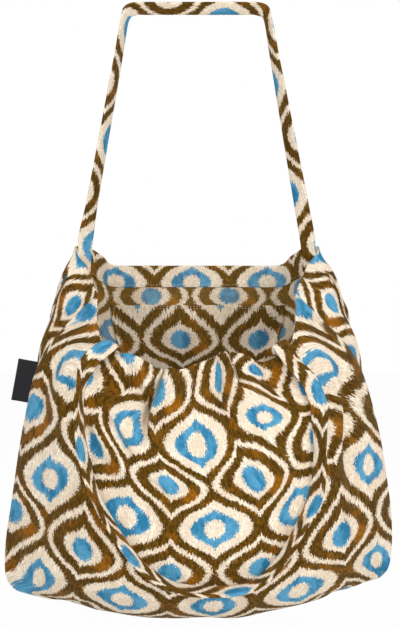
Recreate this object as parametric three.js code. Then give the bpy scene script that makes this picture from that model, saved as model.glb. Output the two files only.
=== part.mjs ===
// A soft cloth tote bag, hung by its back strap so that the front edge sags and the mouth gapes.
// Millimetres, +Z up, +Y towards the back. The origin is the middle of the back strap's top run, on the
// underside that hangs on a peg or a rail.
import * as THREE from 'three';

// Cloth
const clothThick = 1.8;
const facingThick = 1.4;
const facingDeep = 26;
const sewnGap = 0.35;

// Bag body
const panelHalfWidth = 249;
const panelHeight = 400;
const bagHeight = 406;
const bellyHalfWidth = 219;
const baseHalfWidth = 172;
const mouthHalfWidth = 111;
const bellyFront = 115;
const bellyBack = 97;
const seamBehind = 17;
const seamTopBehind = 5;
const bottomBehind = 35;
const rightLift = 15;
const rightTuck = 7;
const bodySway = 4.5;
const foldDeep = 17;
const shoulderBulge = 19;
const cornerBulge = 15;
const hemWave = 11.5;

// Mouth, measured down from the two points where the back strap holds it
const strapDrop = 251.5;
const backEdgeDip = 21;
const backEdgeHalf = 98;
const backEdgeBehind = 80;
const strapEndBehind = 50;
const strapEndHalf = 131;
const seamTopDip = 56;
const frontEdgeDip = 124;
const frontEdgeAhead = 57;
const frontStrapHalf = 93;
const frontEdgeSag = 2;
const mouthBow = 16;

// Straps
const strapWide = 18;
const strapThick = 4;
const strapEndAcross = 142;
const strapTail = 22;
const strapRise = 13;
const frontStrapRise = 7;
const strapStandOff = 2.4;
const strapLoose = 5;
const strapSeat = 0.8;
const topRunHalf = 78;
const topCornerRadius = 11;
const topLean = 1.05;
const legTwist = 1.25;
const leftFootTwist = 0.85;
const rightFootTwist = 0.4;

// Pocket inside the back panel, and the woven tab in the left side seam
const pocketHalfWidth = 92;
const pocketTop = 48;
const pocketDeep = 150;
const tabLong = 27;
const tabWide = 47;
const tabThick = 1.4;
const tabDown = 90;
const tabSewnIn = 4;
const tabLean = 0.1;

// Facets
const acrossCells = 40;
const frontRows = 23;
const backRows = 18;

const strapEndU = strapEndAcross / panelHalfWidth;
const mouthHighZ = -strapDrop;
const bottomZ = mouthHighZ - bagHeight;
const seamTopZ = mouthHighZ - seamTopDip;

const lerp = THREE.MathUtils.lerp;
const smooth = THREE.MathUtils.smoothstep;
const vec = (x, y, z) => new THREE.Vector3(x, y, z);

// A smooth line through stations of [parameter, x, y, z], with each slope taken from its neighbours.
function smoothLine(stations) {
  const last = stations.length - 1;
  const slope = (i, axis) => {
    const before = stations[Math.max(i - 1, 0)];
    const after = stations[Math.min(i + 1, last)];
    return (after[axis] - before[axis]) / (after[0] - before[0]);
  };
  return (t) => {
    let i = 0;
    while (i < last - 1 && t > stations[i + 1][0]) i += 1;
    const span = stations[i + 1][0] - stations[i][0];
    const s = (t - stations[i][0]) / span;
    const hermite = (axis) => {
      const rise = s * s * (3 - 2 * s);
      const start = s * (1 - s) * (1 - s) * span * slope(i, axis);
      const end = s * s * (s - 1) * span * slope(i + 1, axis);
      return lerp(stations[i][axis], stations[i + 1][axis], rise) + start + end;
    };
    return vec(hermite(1), hermite(2), hermite(3));
  };
}

// Side seam, from the mouth round the bottom corner to the end of the bottom seam.
const seamX = (share) => lerp(mouthHalfWidth, bellyHalfWidth, share);
const seamZ = (share) => lerp(seamTopZ, bottomZ, share);
const seamLine = smoothLine([
  [0, mouthHalfWidth, seamTopBehind, seamZ(0)],
  [0.2, seamX(0.57), lerp(seamTopBehind, seamBehind, 0.6), seamZ(0.19)],
  [0.4, seamX(0.793), lerp(seamTopBehind, seamBehind, 0.92), seamZ(0.4)],
  [0.6, seamX(0.914), seamBehind, seamZ(0.62)],
  [0.82, bellyHalfWidth, seamBehind, seamZ(0.84)],
  [0.94, lerp(baseHalfWidth, bellyHalfWidth, 0.78), lerp(seamBehind, bottomBehind, 0.17), seamZ(0.925)],
  [1, baseHalfWidth, lerp(seamBehind, bottomBehind, 0.5), seamZ(0.96)],
]);

// Middle of the front panel: it leans out below the edge, rounds the belly and tucks under.
const frontTopZ = mouthHighZ - frontEdgeDip;
const frontZ = (share) => lerp(frontTopZ, bottomZ, share);
const frontLine = smoothLine([
  [0, 0, -frontEdgeAhead, frontTopZ],
  [0.2, 0, -lerp(frontEdgeAhead, bellyFront, 0.68), frontZ(0.235)],
  [0.4, 0, -bellyFront, frontZ(0.49)],
  [0.6, 0, -lerp(frontEdgeAhead, bellyFront, 0.9), frontZ(0.77)],
  [0.78, 0, -frontEdgeAhead, frontZ(0.965)],
  [1, 0, bottomBehind, bottomZ],
]);

// Middle of the back panel: it carries the weight, so it hangs nearly straight.
const backTopZ = mouthHighZ - backEdgeDip;
const backZ = (share) => lerp(backTopZ, bottomZ, share);
const backLine = smoothLine([
  [0, 0, backEdgeBehind, backTopZ],
  [0.2, 0, lerp(backEdgeBehind, bellyBack, 0.7), backZ(0.2)],
  [0.4, 0, bellyBack, backZ(0.4)],
  [0.6, 0, bellyBack * 0.98, backZ(0.6)],
  [0.8, 0, lerp(bottomBehind, bellyBack, 0.76), backZ(0.81)],
  [1, 0, bottomBehind, bottomZ],
]);

// Mouth edge by the share of the panel's half width: middle, crease, strap end, side seam.
const strapPoint = [strapEndHalf, strapEndBehind, mouthHighZ];
const seamTopPoint = [mouthHalfWidth, seamTopBehind, seamTopZ];
const backFlank = [
  mouthHalfWidth + mouthBow,
  lerp(seamBehind, strapEndBehind, 0.55),
  lerp(mouthHighZ, seamTopZ, 0.4),
];
const frontFlank = [
  lerp(frontStrapHalf, mouthHalfWidth, 0.72),
  -frontEdgeAhead / 2,
  lerp(frontTopZ, seamTopZ, 0.45),
];
const backY = (share) => lerp(strapEndBehind, backEdgeBehind, share);
const backEdge = smoothLine([
  [0, 0, backEdgeBehind, backTopZ],
  [0.22, backEdgeHalf * 0.6, backEdgeBehind, backTopZ],
  [0.34, backEdgeHalf * 0.945, backY(0.99), backTopZ],
  [0.36, backEdgeHalf, backY(0.94), lerp(backTopZ, mouthHighZ, 0.04)],
  [0.39, backEdgeHalf * 1.05, backY(0.78), lerp(backTopZ, mouthHighZ, 0.17)],
  [strapEndU, ...strapPoint],
  [0.76, ...backFlank],
  [1, ...seamTopPoint],
]);
const frontEdge = smoothLine([
  [0, 0, -frontEdgeAhead, frontTopZ],
  [0.3, frontStrapHalf * 0.52, -frontEdgeAhead * 1.035, frontTopZ - frontEdgeSag],
  [strapEndU, frontStrapHalf, -frontEdgeAhead * 0.93, frontTopZ + 2.5 * frontEdgeSag],
  [0.78, ...frontFlank],
  [1, ...seamTopPoint],
]);

// How far the front hem stands above the plain line of its edge, from the left seam to the right one.
const frontHem = smoothLine([
  [-1, 0, 0, 0],
  [-0.57, 0, 0, 0],
  [-0.42, 0, 0, hemWave * 0.09],
  [-0.27, 0, 0, hemWave * -0.43],
  [-0.1, 0, 0, -hemWave],
  [0.055, 0, 0, hemWave * -0.17],
  [0.2, 0, 0, hemWave * 0.61],
  [0.26, 0, 0, hemWave * 0.65],
  [0.42, 0, 0, 0],
  [0.57, 0, 0, 0],
  [1, 0, 0, 0],
]);

// Folds that the slack cloth falls into: across, drift per unit of depth, first and last depth, half
// width, and how far the cloth sinks in as a share of the deepest fold (a negative one stands proud).
const frontFolds = [
  { at: -0.22, drift: -0.05, from: 0, to: 0.36, wide: 0.055, sink: 0.75 },
  { at: -0.43, drift: 0, from: 0, to: 0.1, wide: 0.1, sink: -0.76 },
  { at: -0.43, drift: 0.05, from: 0.02, to: 0.24, wide: 0.1, sink: 0.65 },
  { at: 0.1, drift: 0.05, from: 0, to: 0.3, wide: 0.065, sink: 0.71 },
  { at: 0.3, drift: 0.1, from: 0, to: 0.26, wide: 0.09, sink: -0.24 },
  { at: 0.42, drift: -0.1, from: 0, to: 0.2, wide: 0.07, sink: 0.47 },
  { at: -0.78, drift: 0.9, from: 0.12, to: 0.5, wide: 0.06, sink: 0.47 },
  { at: -0.56, drift: 0.7, from: 0.34, to: 0.62, wide: 0.06, sink: 0.29 },
  { at: 0.86, drift: -0.15, from: 0.08, to: 0.72, wide: 0.06, sink: 0.47 },
  { at: -0.84, drift: -0.05, from: 0.02, to: 0.45, wide: 0.065, sink: 0.47 },
  { at: 0.66, drift: 0.1, from: 0.02, to: 0.4, wide: 0.07, sink: 0.35 },
];
const backFolds = [
  { at: -0.4, drift: 0.05, from: 0, to: 0.45, wide: 0.05, sink: -0.29 },
  { at: 0.4, drift: -0.05, from: 0, to: 0.45, wide: 0.05, sink: -0.29 },
  { at: -0.72, drift: 0, from: 0.001, to: 0.5, wide: 0.24, sink: -shoulderBulge / foldDeep },
  { at: 0.72, drift: 0, from: 0.001, to: 0.5, wide: 0.24, sink: (-1.25 * shoulderBulge) / foldDeep },
  { at: -0.7, drift: 0, from: 0.001, to: 0.13, wide: 0.16, sink: (-0.85 * cornerBulge) / foldDeep },
  { at: 0.7, drift: 0, from: 0.001, to: 0.13, wide: 0.16, sink: (-1.19 * cornerBulge) / foldDeep },
  { at: -0.74, drift: -0.1, from: 0.08, to: 0.5, wide: 0.08, sink: 0.41 },
  { at: 0.76, drift: 0.1, from: 0.08, to: 0.46, wide: 0.08, sink: 0.41 },
  { at: -0.1, drift: 0.3, from: 0.3, to: 0.85, wide: 0.1, sink: 0.35 },
  { at: 0.3, drift: -0.3, from: 0.4, to: 0.9, wide: 0.1, sink: 0.35 },
];

// Folds die out at the side seams, and where a sewn strap end stiffens the edge.
function foldDepth(folds, u, v) {
  const edgeFade = 1 - smooth(Math.abs(u), 0.9, 1);
  const offStrap = (Math.abs(u) - strapEndU) / 0.09;
  const strapHold = Math.exp(-offStrap * offStrap) * (1 - smooth(v, 0.06, 0.16));
  let depth = 0;
  for (const f of folds) {
    const across = (u - f.at - f.drift * v) / f.wide;
    const begin = f.from > 0 ? smooth(v, f.from, lerp(f.from, f.to, 0.35)) : 1;
    const end = 1 - smooth(v, lerp(f.from, f.to, 0.3), f.to);
    depth += f.sink * Math.exp(-across * across) * begin * end;
  }
  return foldDeep * depth * edgeFade * (1 - strapHold);
}

// The smooth panel: a pillow section at each depth, drawn to the mouth edge near the top.
function panelBase(panel, u, v) {
  const side = Math.abs(u);
  const seam = seamLine(v);
  const middle = panel.middle(v);
  const spread = lerp(1.7, 1.04, smooth(v, 0, 0.45));
  const across = 1 - (1 - side) ** spread;
  const round = lerp(2.4, 3, smooth(v, 0.5, 0.8));
  const bulge = 1 - side ** round;
  const sag = (1 - side ** 2.4) ** 1.2;
  const point = vec(seam.x * across, lerp(seam.y, middle.y, bulge), lerp(seam.z, middle.z, sag));
  if (v < panel.mouthReach) {
    const seamTop = seamLine(0);
    const middleTop = panel.middle(0);
    const acrossTop = 1 - (1 - side) ** 1.7;
    const pull = (1 - v / panel.mouthReach) ** 2;
    const edge = panel.edge(side);
    point.x += (edge.x - seamTop.x * acrossTop) * pull;
    point.y += (edge.y - lerp(seamTop.y, middleTop.y, bulge)) * pull;
    point.z += (edge.z - lerp(seamTop.z, middleTop.z, sag)) * pull;
  }
  point.x = point.x * Math.sign(u) + bodySway * smooth(v, 0, 0.5);
  point.x -= rightTuck * smooth(u, 0.4, 1) * smooth(v, 0.6, 0.9);
  point.z += (rightLift / 2) * u * v * v;
  if (panel.hem) point.z += panel.hem(u).z * (1 - smooth(v, 0, 0.2));
  return point;
}

const front = {
  facing: -1,
  middle: frontLine,
  edge: frontEdge,
  hem: frontHem,
  mouthReach: 0.6,
  folds: frontFolds,
};
const back = {
  facing: 1,
  middle: backLine,
  edge: backEdge,
  mouthReach: 0.5,
  folds: backFolds,
};

// Outward direction of a panel, by the cross product of small steps along it.
function outward(surface, facing, u, v) {
  const step = 0.004;
  const uLow = Math.max(u - step, -1);
  const uHigh = Math.min(u + step, 1);
  const vLow = Math.max(v - step, 0);
  const vHigh = Math.min(v + step, 1);
  const alongU = surface(uHigh, v).sub(surface(uLow, v));
  const alongV = surface(u, vHigh).sub(surface(u, vLow));
  return alongU.cross(alongV).normalize().multiplyScalar(facing);
}

// The left seam opens by half the tab's thickness where the tab is sewn in.
function tabOpening(u, v) {
  if (u > 0) return 0;
  const down = v * panelHeight;
  const begin = smooth(down, tabDown - tabWide * 0.85, tabDown - tabWide * 0.38);
  const end = 1 - smooth(down, tabDown + tabWide * 1.38, tabDown + tabWide * 1.85);
  return (tabThick / 2 + sewnGap / 2) * begin * end;
}

function panelPoint(panel, u, v) {
  const base = (a, b) => panelBase(panel, a, b);
  const point = base(u, v);
  const sink = foldDepth(panel.folds, u, v);
  if (sink !== 0) point.addScaledVector(outward(base, panel.facing, u, v), -sink);
  const nearSeam = Math.max(smooth(Math.abs(u), 0.94, 1), smooth(v, 0.94, 1));
  point.y += panel.facing * nearSeam * (sewnGap / 2 + tabOpening(u, v));
  return point;
}

function panelNormal(panel, u, v) {
  return outward((a, b) => panelPoint(panel, a, b), panel.facing, u, v);
}

// Inward direction across the cloth. At the seams both panels share it, so that their edges meet flat.
function panelInward(panel, u, v) {
  const mitreSide = smooth(Math.abs(u), 0.92, 1);
  const mitreBottom = smooth(v, 0.92, 1);
  const inward = panelNormal(panel, u, v).negate();
  inward.multiplyScalar(1 - Math.max(mitreSide, mitreBottom));
  inward.x -= Math.sign(u) * mitreSide;
  inward.z += mitreBottom;
  return inward.normalize();
}

// A point on the bag's cloth, sunk inwards by a depth.
function layerPoint(panel, u, v, depth) {
  return panelPoint(panel, u, v).addScaledVector(panelInward(panel, u, v), depth);
}

// A closed solid from two matching grids of points, an outer and an inner one.
function slab(outer, inner, facing) {
  const rows = outer.length;
  const columns = outer[0].length;
  const positions = [];
  for (const grid of [outer, inner]) {
    for (const row of grid) {
      for (const p of row) positions.push(p.x, p.y, p.z);
    }
  }
  const outerAt = (i, j) => i * columns + j;
  const innerAt = (i, j) => rows * columns + i * columns + j;
  const index = [];
  const quad = (a, b, c, d) => {
    if (facing > 0) index.push(a, b, c, a, c, d);
    else index.push(a, c, b, a, d, c);
  };
  for (let i = 0; i < rows - 1; i += 1) {
    for (let j = 0; j < columns - 1; j += 1) {
      quad(outerAt(i, j), outerAt(i, j + 1), outerAt(i + 1, j + 1), outerAt(i + 1, j));
      quad(innerAt(i, j), innerAt(i + 1, j), innerAt(i + 1, j + 1), innerAt(i, j + 1));
    }
  }
  for (let j = 0; j < columns - 1; j += 1) {
    quad(outerAt(0, j), innerAt(0, j), innerAt(0, j + 1), outerAt(0, j + 1));
    quad(outerAt(rows - 1, j), outerAt(rows - 1, j + 1), innerAt(rows - 1, j + 1), innerAt(rows - 1, j));
  }
  for (let i = 0; i < rows - 1; i += 1) {
    quad(outerAt(i, 0), outerAt(i + 1, 0), innerAt(i + 1, 0), innerAt(i, 0));
    const end = columns - 1;
    quad(outerAt(i, end), innerAt(i, end), innerAt(i + 1, end), outerAt(i + 1, end));
  }
  const geometry = new THREE.BufferGeometry();
  geometry.setAttribute('position', new THREE.Float32BufferAttribute(positions, 3));
  geometry.setIndex(index);
  geometry.computeVertexNormals();
  return geometry;
}

// A piece of cloth that follows a panel between two depths below its face.
function clothLayer(panel, us, vs, depth, thick) {
  const grid = (extra) => vs.map((v) => us.map((u) => layerPoint(panel, u, v, depth + extra)));
  return slab(grid(0), grid(thick), panel.facing);
}

const range = (from, to, cells) => Array.from({ length: cells + 1 }, (_, i) => lerp(from, to, i / cells));

// Rows of facets down a panel. Those at the facing match the facing's own.
const facingRows = range(0, facingDeep / panelHeight, 2);

function panelGeometry(panel, rows) {
  const vs = [...facingRows.slice(0, -1), ...range(facingDeep / panelHeight, 1, rows)];
  return clothLayer(panel, range(-1, 1, acrossCells), vs, 0, clothThick);
}

// Depths below a panel's outer face: its facing, and the middle of a strap end sewn on over the facing.
const facingDepth = clothThick + sewnGap;
const strapEndDepth = facingDepth + facingThick + strapSeat + strapThick / 2;

// The facing lies behind the mouth edge.
function facingGeometry(panel) {
  const us = range(-1, 1, acrossCells).slice(1, -1);
  return clothLayer(panel, us, facingRows, facingDepth, facingThick);
}

// A flat patch pocket on the inside of the back panel.
function pocketGeometry() {
  const across = pocketHalfWidth / panelHalfWidth;
  const us = range(-across, across, 14);
  const vs = range(pocketTop / panelHeight, (pocketTop + pocketDeep) / panelHeight, 8);
  return clothLayer(back, us, vs, clothThick + 3 * sewnGap, facingThick);
}

// Strap section: a flattened tube of folded cloth. Its chamfers are as steep as the top run leans, so that the
// run hangs on a level face.
const chamferThick = 1.1;
const chamferWide = chamferThick * Math.tan(topLean);
const strapSection = [
  [strapWide / 2, chamferThick - strapThick / 2],
  [strapWide / 2, strapThick / 2 - chamferThick],
  [strapWide / 2 - chamferWide, strapThick / 2],
  [chamferWide - strapWide / 2, strapThick / 2],
  [-strapWide / 2, strapThick / 2 - chamferThick],
  [-strapWide / 2, chamferThick - strapThick / 2],
  [chamferWide - strapWide / 2, -strapThick / 2],
  [strapWide / 2 - chamferWide, -strapThick / 2],
];

// A closed solid through rings of points, capped at both ends.
function loft(rings) {
  const sides = rings[0].length;
  const positions = [];
  for (const ring of rings) {
    for (const p of ring) positions.push(p.x, p.y, p.z);
  }
  const index = [];
  for (let i = 0; i < rings.length - 1; i += 1) {
    for (let j = 0; j < sides; j += 1) {
      const a = i * sides + j;
      const b = i * sides + ((j + 1) % sides);
      index.push(a, b + sides, b, a, a + sides, b + sides);
    }
  }
  const lastRing = (rings.length - 1) * sides;
  for (let j = 1; j < sides - 1; j += 1) {
    index.push(0, j, j + 1);
    index.push(lastRing, lastRing + j + 1, lastRing + j);
  }
  const geometry = new THREE.BufferGeometry();
  geometry.setAttribute('position', new THREE.Float32BufferAttribute(positions, 3));
  geometry.setIndex(index);
  geometry.computeVertexNormals();
  return geometry;
}

// Rings of a strap end, which lies on the inner face of a facing and curves with it.
function tailRings(panel, endU, leaving) {
  const turn = panel.facing * (leaving ? 1 : -1);
  const depths = [strapTail, strapTail / 2, sewnGap].map((d) => d / panelHeight);
  const rings = depths.map((v) =>
    strapSection.map(([x, y]) => layerPoint(panel, endU + (turn * x) / panelHalfWidth, v, strapEndDepth + y)),
  );
  return leaving ? rings : rings.reverse();
}

// Rings along a free strap: its middle line, and the direction that its inner face looks in.
function freeRings(points, faces, steps) {
  const route = new THREE.CatmullRomCurve3(points, false, 'centripetal');
  return range(0, 1, steps).map((t) => {
    const at = t * (points.length - 1);
    const i = Math.min(Math.floor(at), points.length - 2);
    const tangent = route.getTangent(t);
    const face = faces[i].clone().lerp(faces[i + 1], at - i);
    face.addScaledVector(tangent, -face.dot(tangent)).normalize();
    const across = tangent.clone().cross(face);
    const middle = route.getPoint(t);
    return strapSection.map(([x, y]) => middle.clone().addScaledVector(across, x).addScaledVector(face, y));
  });
}

// Where a strap leaves the mouth edge, with the way up and the panel's outward direction there.
function strapExit(panel, endU) {
  const at = layerPoint(panel, endU, 0, strapEndDepth);
  const up = at.clone().sub(layerPoint(panel, endU, facingDeep / panelHeight, strapEndDepth)).normalize();
  return { at, up, out: panelNormal(panel, endU, 0) };
}

// How far the strap's section reaches along a direction that lies across its run.
function sectionReach(alongWide, alongThick) {
  return Math.max(...strapSection.map(([x, y]) => x * alongWide + y * alongThick));
}

// The back strap: up from each end, turning edge on, and round two corners to a level top run that leans.
// The middle of the chamfer that the run hangs on is the origin.
function backStrapGeometry() {
  const hangX = (strapWide - chamferWide) / 2;
  const hangY = (strapThick - chamferThick) / 2;
  const topY = hangY * Math.cos(topLean) - hangX * Math.sin(topLean);
  const topZ = hangX * Math.cos(topLean) + hangY * Math.sin(topLean);
  const leg = (sign) => {
    const exit = strapExit(back, sign * strapEndU);
    const foot = exit.at.clone().addScaledVector(exit.up, strapRise);
    const head = vec(sign * topRunHalf, topY, topZ - topCornerRadius);
    const footTwist = sign < 0 ? leftFootTwist : rightFootTwist;
    const twisted = (turn) => vec(-sign * Math.sin(turn), -Math.cos(turn), 0);
    const points = [exit.at.clone().addScaledVector(exit.up, strapThick), foot];
    const faces = [exit.out.clone().negate(), exit.out.clone().negate().lerp(twisted(footTwist * 0.6), 0.6)];
    for (const share of [0.16, 0.38, 0.6, 0.82, 1]) {
      points.push(foot.clone().lerp(head, share));
      faces.push(twisted(lerp(footTwist, legTwist, share ** 0.8)));
    }
    const bend = topCornerRadius * 0.3;
    points.push(vec(sign * (topRunHalf - bend), topY, topZ - bend));
    faces.push(vec(-sign * Math.sin(topLean) * 0.7, -Math.cos(topLean), -Math.sin(topLean) * 0.7));
    for (const inset of [1.2, 2]) {
      points.push(vec(sign * (topRunHalf - topCornerRadius * inset), topY, topZ));
      faces.push(vec(0, -Math.cos(topLean), -Math.sin(topLean)));
    }
    return { points, faces };
  };
  const left = leg(-1);
  const right = leg(1);
  const points = [...left.points, ...right.points.reverse()];
  const faces = [...left.faces, ...right.faces.reverse()];
  return loft([
    ...tailRings(back, -strapEndU, true),
    ...freeRings(points, faces, 80),
    ...tailRings(back, strapEndU, false),
  ]);
}

// The front strap: up out of the edge, over it, and down the front in a long U, on its edge for most of the way.
// Its route down the panel is a list of the share across, the share down, and how far it is turned on its edge.
const frontStrapRoute = [
  [-0.585, 0.057, 0.6], [-0.549, 0.131, 1.2], [-0.524, 0.225, 1.2], [-0.523, 0.327, 1.15], [-0.493, 0.419, 1.2],
  [-0.411, 0.481, 1.25], [-0.282, 0.555, 1.25], [-0.137, 0.604, 1.25], [0.062, 0.621, 1.25], [0.236, 0.613, 1.25],
  [0.357, 0.565, 1.2], [0.466, 0.493, 1.15], [0.534, 0.447, 0.9], [0.554, 0.376, 1], [0.539, 0.272, 1],
  [0.551, 0.187, 0.4], [0.56, 0.11, 0.1], [0.545, 0.057, 0],
];
function frontStrapGeometry() {
  const over = (sign) => {
    const exit = strapExit(front, sign * strapEndU);
    const top = exit.at.clone().addScaledVector(exit.up, frontStrapRise);
    const middle = top.clone().addScaledVector(exit.out, strapStandOff + strapThick + facingDepth);
    middle.addScaledVector(exit.up, strapThick);
    return {
      points: [exit.at.clone().addScaledVector(exit.up, strapThick), top, middle],
      faces: [
        exit.out.clone().negate(),
        exit.up.clone().sub(exit.out),
        exit.up.clone().addScaledVector(exit.out, 0.6),
      ],
    };
  };
  const left = over(-1);
  const right = over(1);
  const ground = (a, b) => panelBase(front, a, b);
  const down = frontStrapRoute.map(([u, v, turn], i) => {
    const before = frontStrapRoute[Math.max(i - 1, 0)];
    const after = frontStrapRoute[Math.min(i + 1, frontStrapRoute.length - 1)];
    const along = ground(after[0], after[1]).sub(ground(before[0], before[1])).normalize();
    const out = outward(ground, front.facing, u, v);
    const sideways = vec(0, -1, 0).cross(along).normalize();
    const face = out.clone().multiplyScalar(Math.cos(turn)).addScaledVector(sideways, Math.sin(turn));
    face.addScaledVector(along, -face.dot(along)).normalize();
    const across = along.clone().cross(face);
    const reach = sectionReach(Math.abs(across.dot(out)), Math.abs(face.dot(out)));
    const loose = strapLoose * (1 - smooth(v, 0.04, 0.3));
    return { point: ground(u, v).addScaledVector(out, strapStandOff + reach + loose), face };
  });
  const points = [...left.points, ...down.map((d) => d.point), ...right.points.reverse()];
  const faces = [...left.faces, ...down.map((d) => d.face), ...right.faces.reverse()];
  return loft([
    ...tailRings(front, -strapEndU, true),
    ...freeRings(points, faces, 92),
    ...tailRings(front, strapEndU, false),
  ]);
}

// The tab: a folded strip with a rounded fold, standing out of the left side seam.
function tabMesh(material) {
  const half = tabThick / 2;
  const outline = new THREE.Shape();
  outline.moveTo(0, -half);
  outline.lineTo(tabLong - half, -half);
  outline.absarc(tabLong - half, 0, half, -Math.PI / 2, Math.PI / 2, false);
  outline.lineTo(0, half);
  outline.closePath();
  const extrusion = { depth: tabWide, bevelEnabled: false, curveSegments: 6 };
  const geometry = new THREE.ExtrudeGeometry(outline, extrusion);
  const mesh = new THREE.Mesh(geometry, material);
  const seamAt = (down) => {
    const onFront = panelPoint(front, -1, down / panelHeight);
    return onFront.lerp(panelPoint(back, -1, down / panelHeight), 0.5);
  };
  const top = seamAt(tabDown);
  const along = seamAt(tabDown + tabWide).sub(top).normalize();
  along.x += tabLean;
  along.normalize();
  const out = vec(-1, 0, 0).addScaledVector(along, along.x).normalize();
  const flat = along.clone().cross(out);
  mesh.matrixAutoUpdate = false;
  mesh.matrix.makeBasis(out, flat, along);
  mesh.matrix.setPosition(top.addScaledVector(out, -tabSewnIn));
  return mesh;
}

const cloth = (color) => new THREE.MeshStandardMaterial({ color, roughness: 0.95, metalness: 0 });
const outerCloth = cloth(0xd9c8a8);
const innerCloth = cloth(0xc9b795);
const strapCloth = cloth(0x8a6a34);
const tabCloth = cloth(0x15151a);

function named(name, geometry, material) {
  const mesh = new THREE.Mesh(geometry, material);
  mesh.name = name;
  return mesh;
}

const bag = new THREE.Group();
bag.name = 'tote_bag';
bag.add(named('front_panel', panelGeometry(front, frontRows), outerCloth));
bag.add(named('back_panel', panelGeometry(back, backRows), outerCloth));
bag.add(named('front_facing', facingGeometry(front), innerCloth));
bag.add(named('back_facing', facingGeometry(back), innerCloth));
bag.add(named('inner_pocket', pocketGeometry(), innerCloth));
bag.add(named('back_strap', backStrapGeometry(), strapCloth));
bag.add(named('front_strap', frontStrapGeometry(), strapCloth));
const sideTab = tabMesh(tabCloth);
sideTab.name = 'side_tab';
bag.add(sideTab);

export default bag;
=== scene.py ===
import math
from functools import partial
import bpy
import numpy as np
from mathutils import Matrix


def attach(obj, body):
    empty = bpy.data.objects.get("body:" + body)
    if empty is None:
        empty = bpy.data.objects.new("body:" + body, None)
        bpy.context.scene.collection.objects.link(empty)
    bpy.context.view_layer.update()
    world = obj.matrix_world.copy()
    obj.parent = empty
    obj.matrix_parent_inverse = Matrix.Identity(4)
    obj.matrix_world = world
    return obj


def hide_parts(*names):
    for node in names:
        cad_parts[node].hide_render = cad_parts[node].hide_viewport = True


# A soft cloth tote bag, hung by its back strap so that the front edge sags and the mouth gapes.
# Shapes are worked out in millimetres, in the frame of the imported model, and put down in metres.
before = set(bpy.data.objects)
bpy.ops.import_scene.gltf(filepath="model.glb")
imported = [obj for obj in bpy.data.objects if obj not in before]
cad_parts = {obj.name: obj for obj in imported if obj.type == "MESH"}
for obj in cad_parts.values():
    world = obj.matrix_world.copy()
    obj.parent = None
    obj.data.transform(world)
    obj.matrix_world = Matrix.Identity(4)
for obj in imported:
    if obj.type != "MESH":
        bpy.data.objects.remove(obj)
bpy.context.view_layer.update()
print("frame loaded with", len(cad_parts), "nodes")


# Puts an object with these data into the scene.
def addObject(name, data):
    made = bpy.data.objects.new(name, data)
    bpy.context.scene.collection.objects.link(made)
    return made


# Camera: level, straight in front of the bag
view = {"at": (0.0039, -1.150, -0.3285), "lens": 60.0, "sensor": 36.0, "wide": 400, "high": 626}
cameraData = bpy.data.cameras.new("photo_camera")
cameraData.lens = view["lens"]
cameraData.sensor_width = view["sensor"]
camera = addObject("photo_camera", cameraData)
camera.location = view["at"]
camera.rotation_euler = (math.pi / 2, 0, 0)
bpy.context.scene.camera = camera

# Sizes of the bag in millimetres, as in the part's source, and how finely each piece is divided here
mm = 0.001  # in metres
cloth = {
    "thick": 1.8, "gap": 0.35, "hemRound": 0.85, "facingThick": 1.4, "facingDeep": 26, "facingLong": 450,
    "facingEndU": 0.95, "facingRound": 0.65, "facingColumns": 240, "facingRows": 14,
}
body = {
    "halfWidth": 249, "height": 400, "bagHeight": 406, "bellyHalf": 219, "baseHalf": 172, "mouthHalf": 111,
    "bellyFront": 115, "bellyBack": 97, "seamBehind": 17, "seamTopBehind": 5, "bottomBehind": 35,
    "rightLift": 15, "rightTuck": 7, "sway": 4.5, "foldDeep": 17, "shoulderBulge": 19,
}
mouth = {
    "strapDrop": 251.5, "backDip": 21, "backHalf": 98, "backBehind": 80, "strapBehind": 50, "strapHalf": 131,
    "seamDip": 56, "frontDip": 124, "frontAhead": 57, "frontStrapHalf": 93, "frontSag": 2, "bow": 16,
}
strap = {
    "wide": 18, "thick": 4, "sectionPower": 3.4, "endAcross": 142, "tail": 22, "rest": 12, "rise": 13,
    "frontRise": 7, "standOff": 2.4, "loose": 5, "seat": 0.8, "topHalf": 78, "cornerRadius": 11,
    "topLean": 1.05, "twist": 1.25, "twistLeft": 0.85, "twistRight": 0.4, "around": 28, "tailRings": 12,
    "backRings": 300, "frontRings": 330, "endReach": (125, 165), "looseDown": (0.04, 0.3),
}
pocket = {"half": 92, "top": 48, "deep": 150, "columns": 120, "rows": 90}
tab = {
    "long": 27, "wide": 47, "thick": 1.4, "ply": 0.5, "down": 90, "sewnIn": 4, "lean": 0.1, "curl": 1.1,
    "wave": 0.35, "waveTurn": 5.0, "opening": (0.85, 0.38), "columns": 30, "rows": 26, "foldRows": 12,
}
strapEndU = strap["endAcross"] / body["halfWidth"]
strapRest = strap["rest"] / body["halfWidth"]
highZ = -mouth["strapDrop"]
bottomZ = highZ - body["bagHeight"]
seamTopZ = highZ - mouth["seamDip"]
frontTopZ = highZ - mouth["frontDip"]
backTopZ = highZ - mouth["backDip"]


def lerp(a, b, t):
    return a + (b - a) * t


def smooth(x, low, high):
    t = np.clip((x - low) / (high - low), 0, 1)
    return t * t * (3 - 2 * t)


def unit(v):
    return v / np.linalg.norm(v, axis=-1, keepdims=True)


# The part of some directions that is square to others.
def squareTo(v, along):
    return unit(v - along * (v * along).sum(-1, keepdims=True))


# A length between two others, as a function of the share of the way.
def between(low, high):
    return lambda share: lerp(low, high, share)


# The places before and after each place of a row, which stop at its ends.
def neighbours(count):
    order = np.arange(count)
    return np.maximum(order - 1, 0), np.minimum(order + 1, count - 1)


# How far along a line of points each of them is.
def lengthAlong(points):
    return np.concatenate([[0], np.cumsum(np.linalg.norm(np.diff(points, axis=0), axis=1))])


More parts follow.
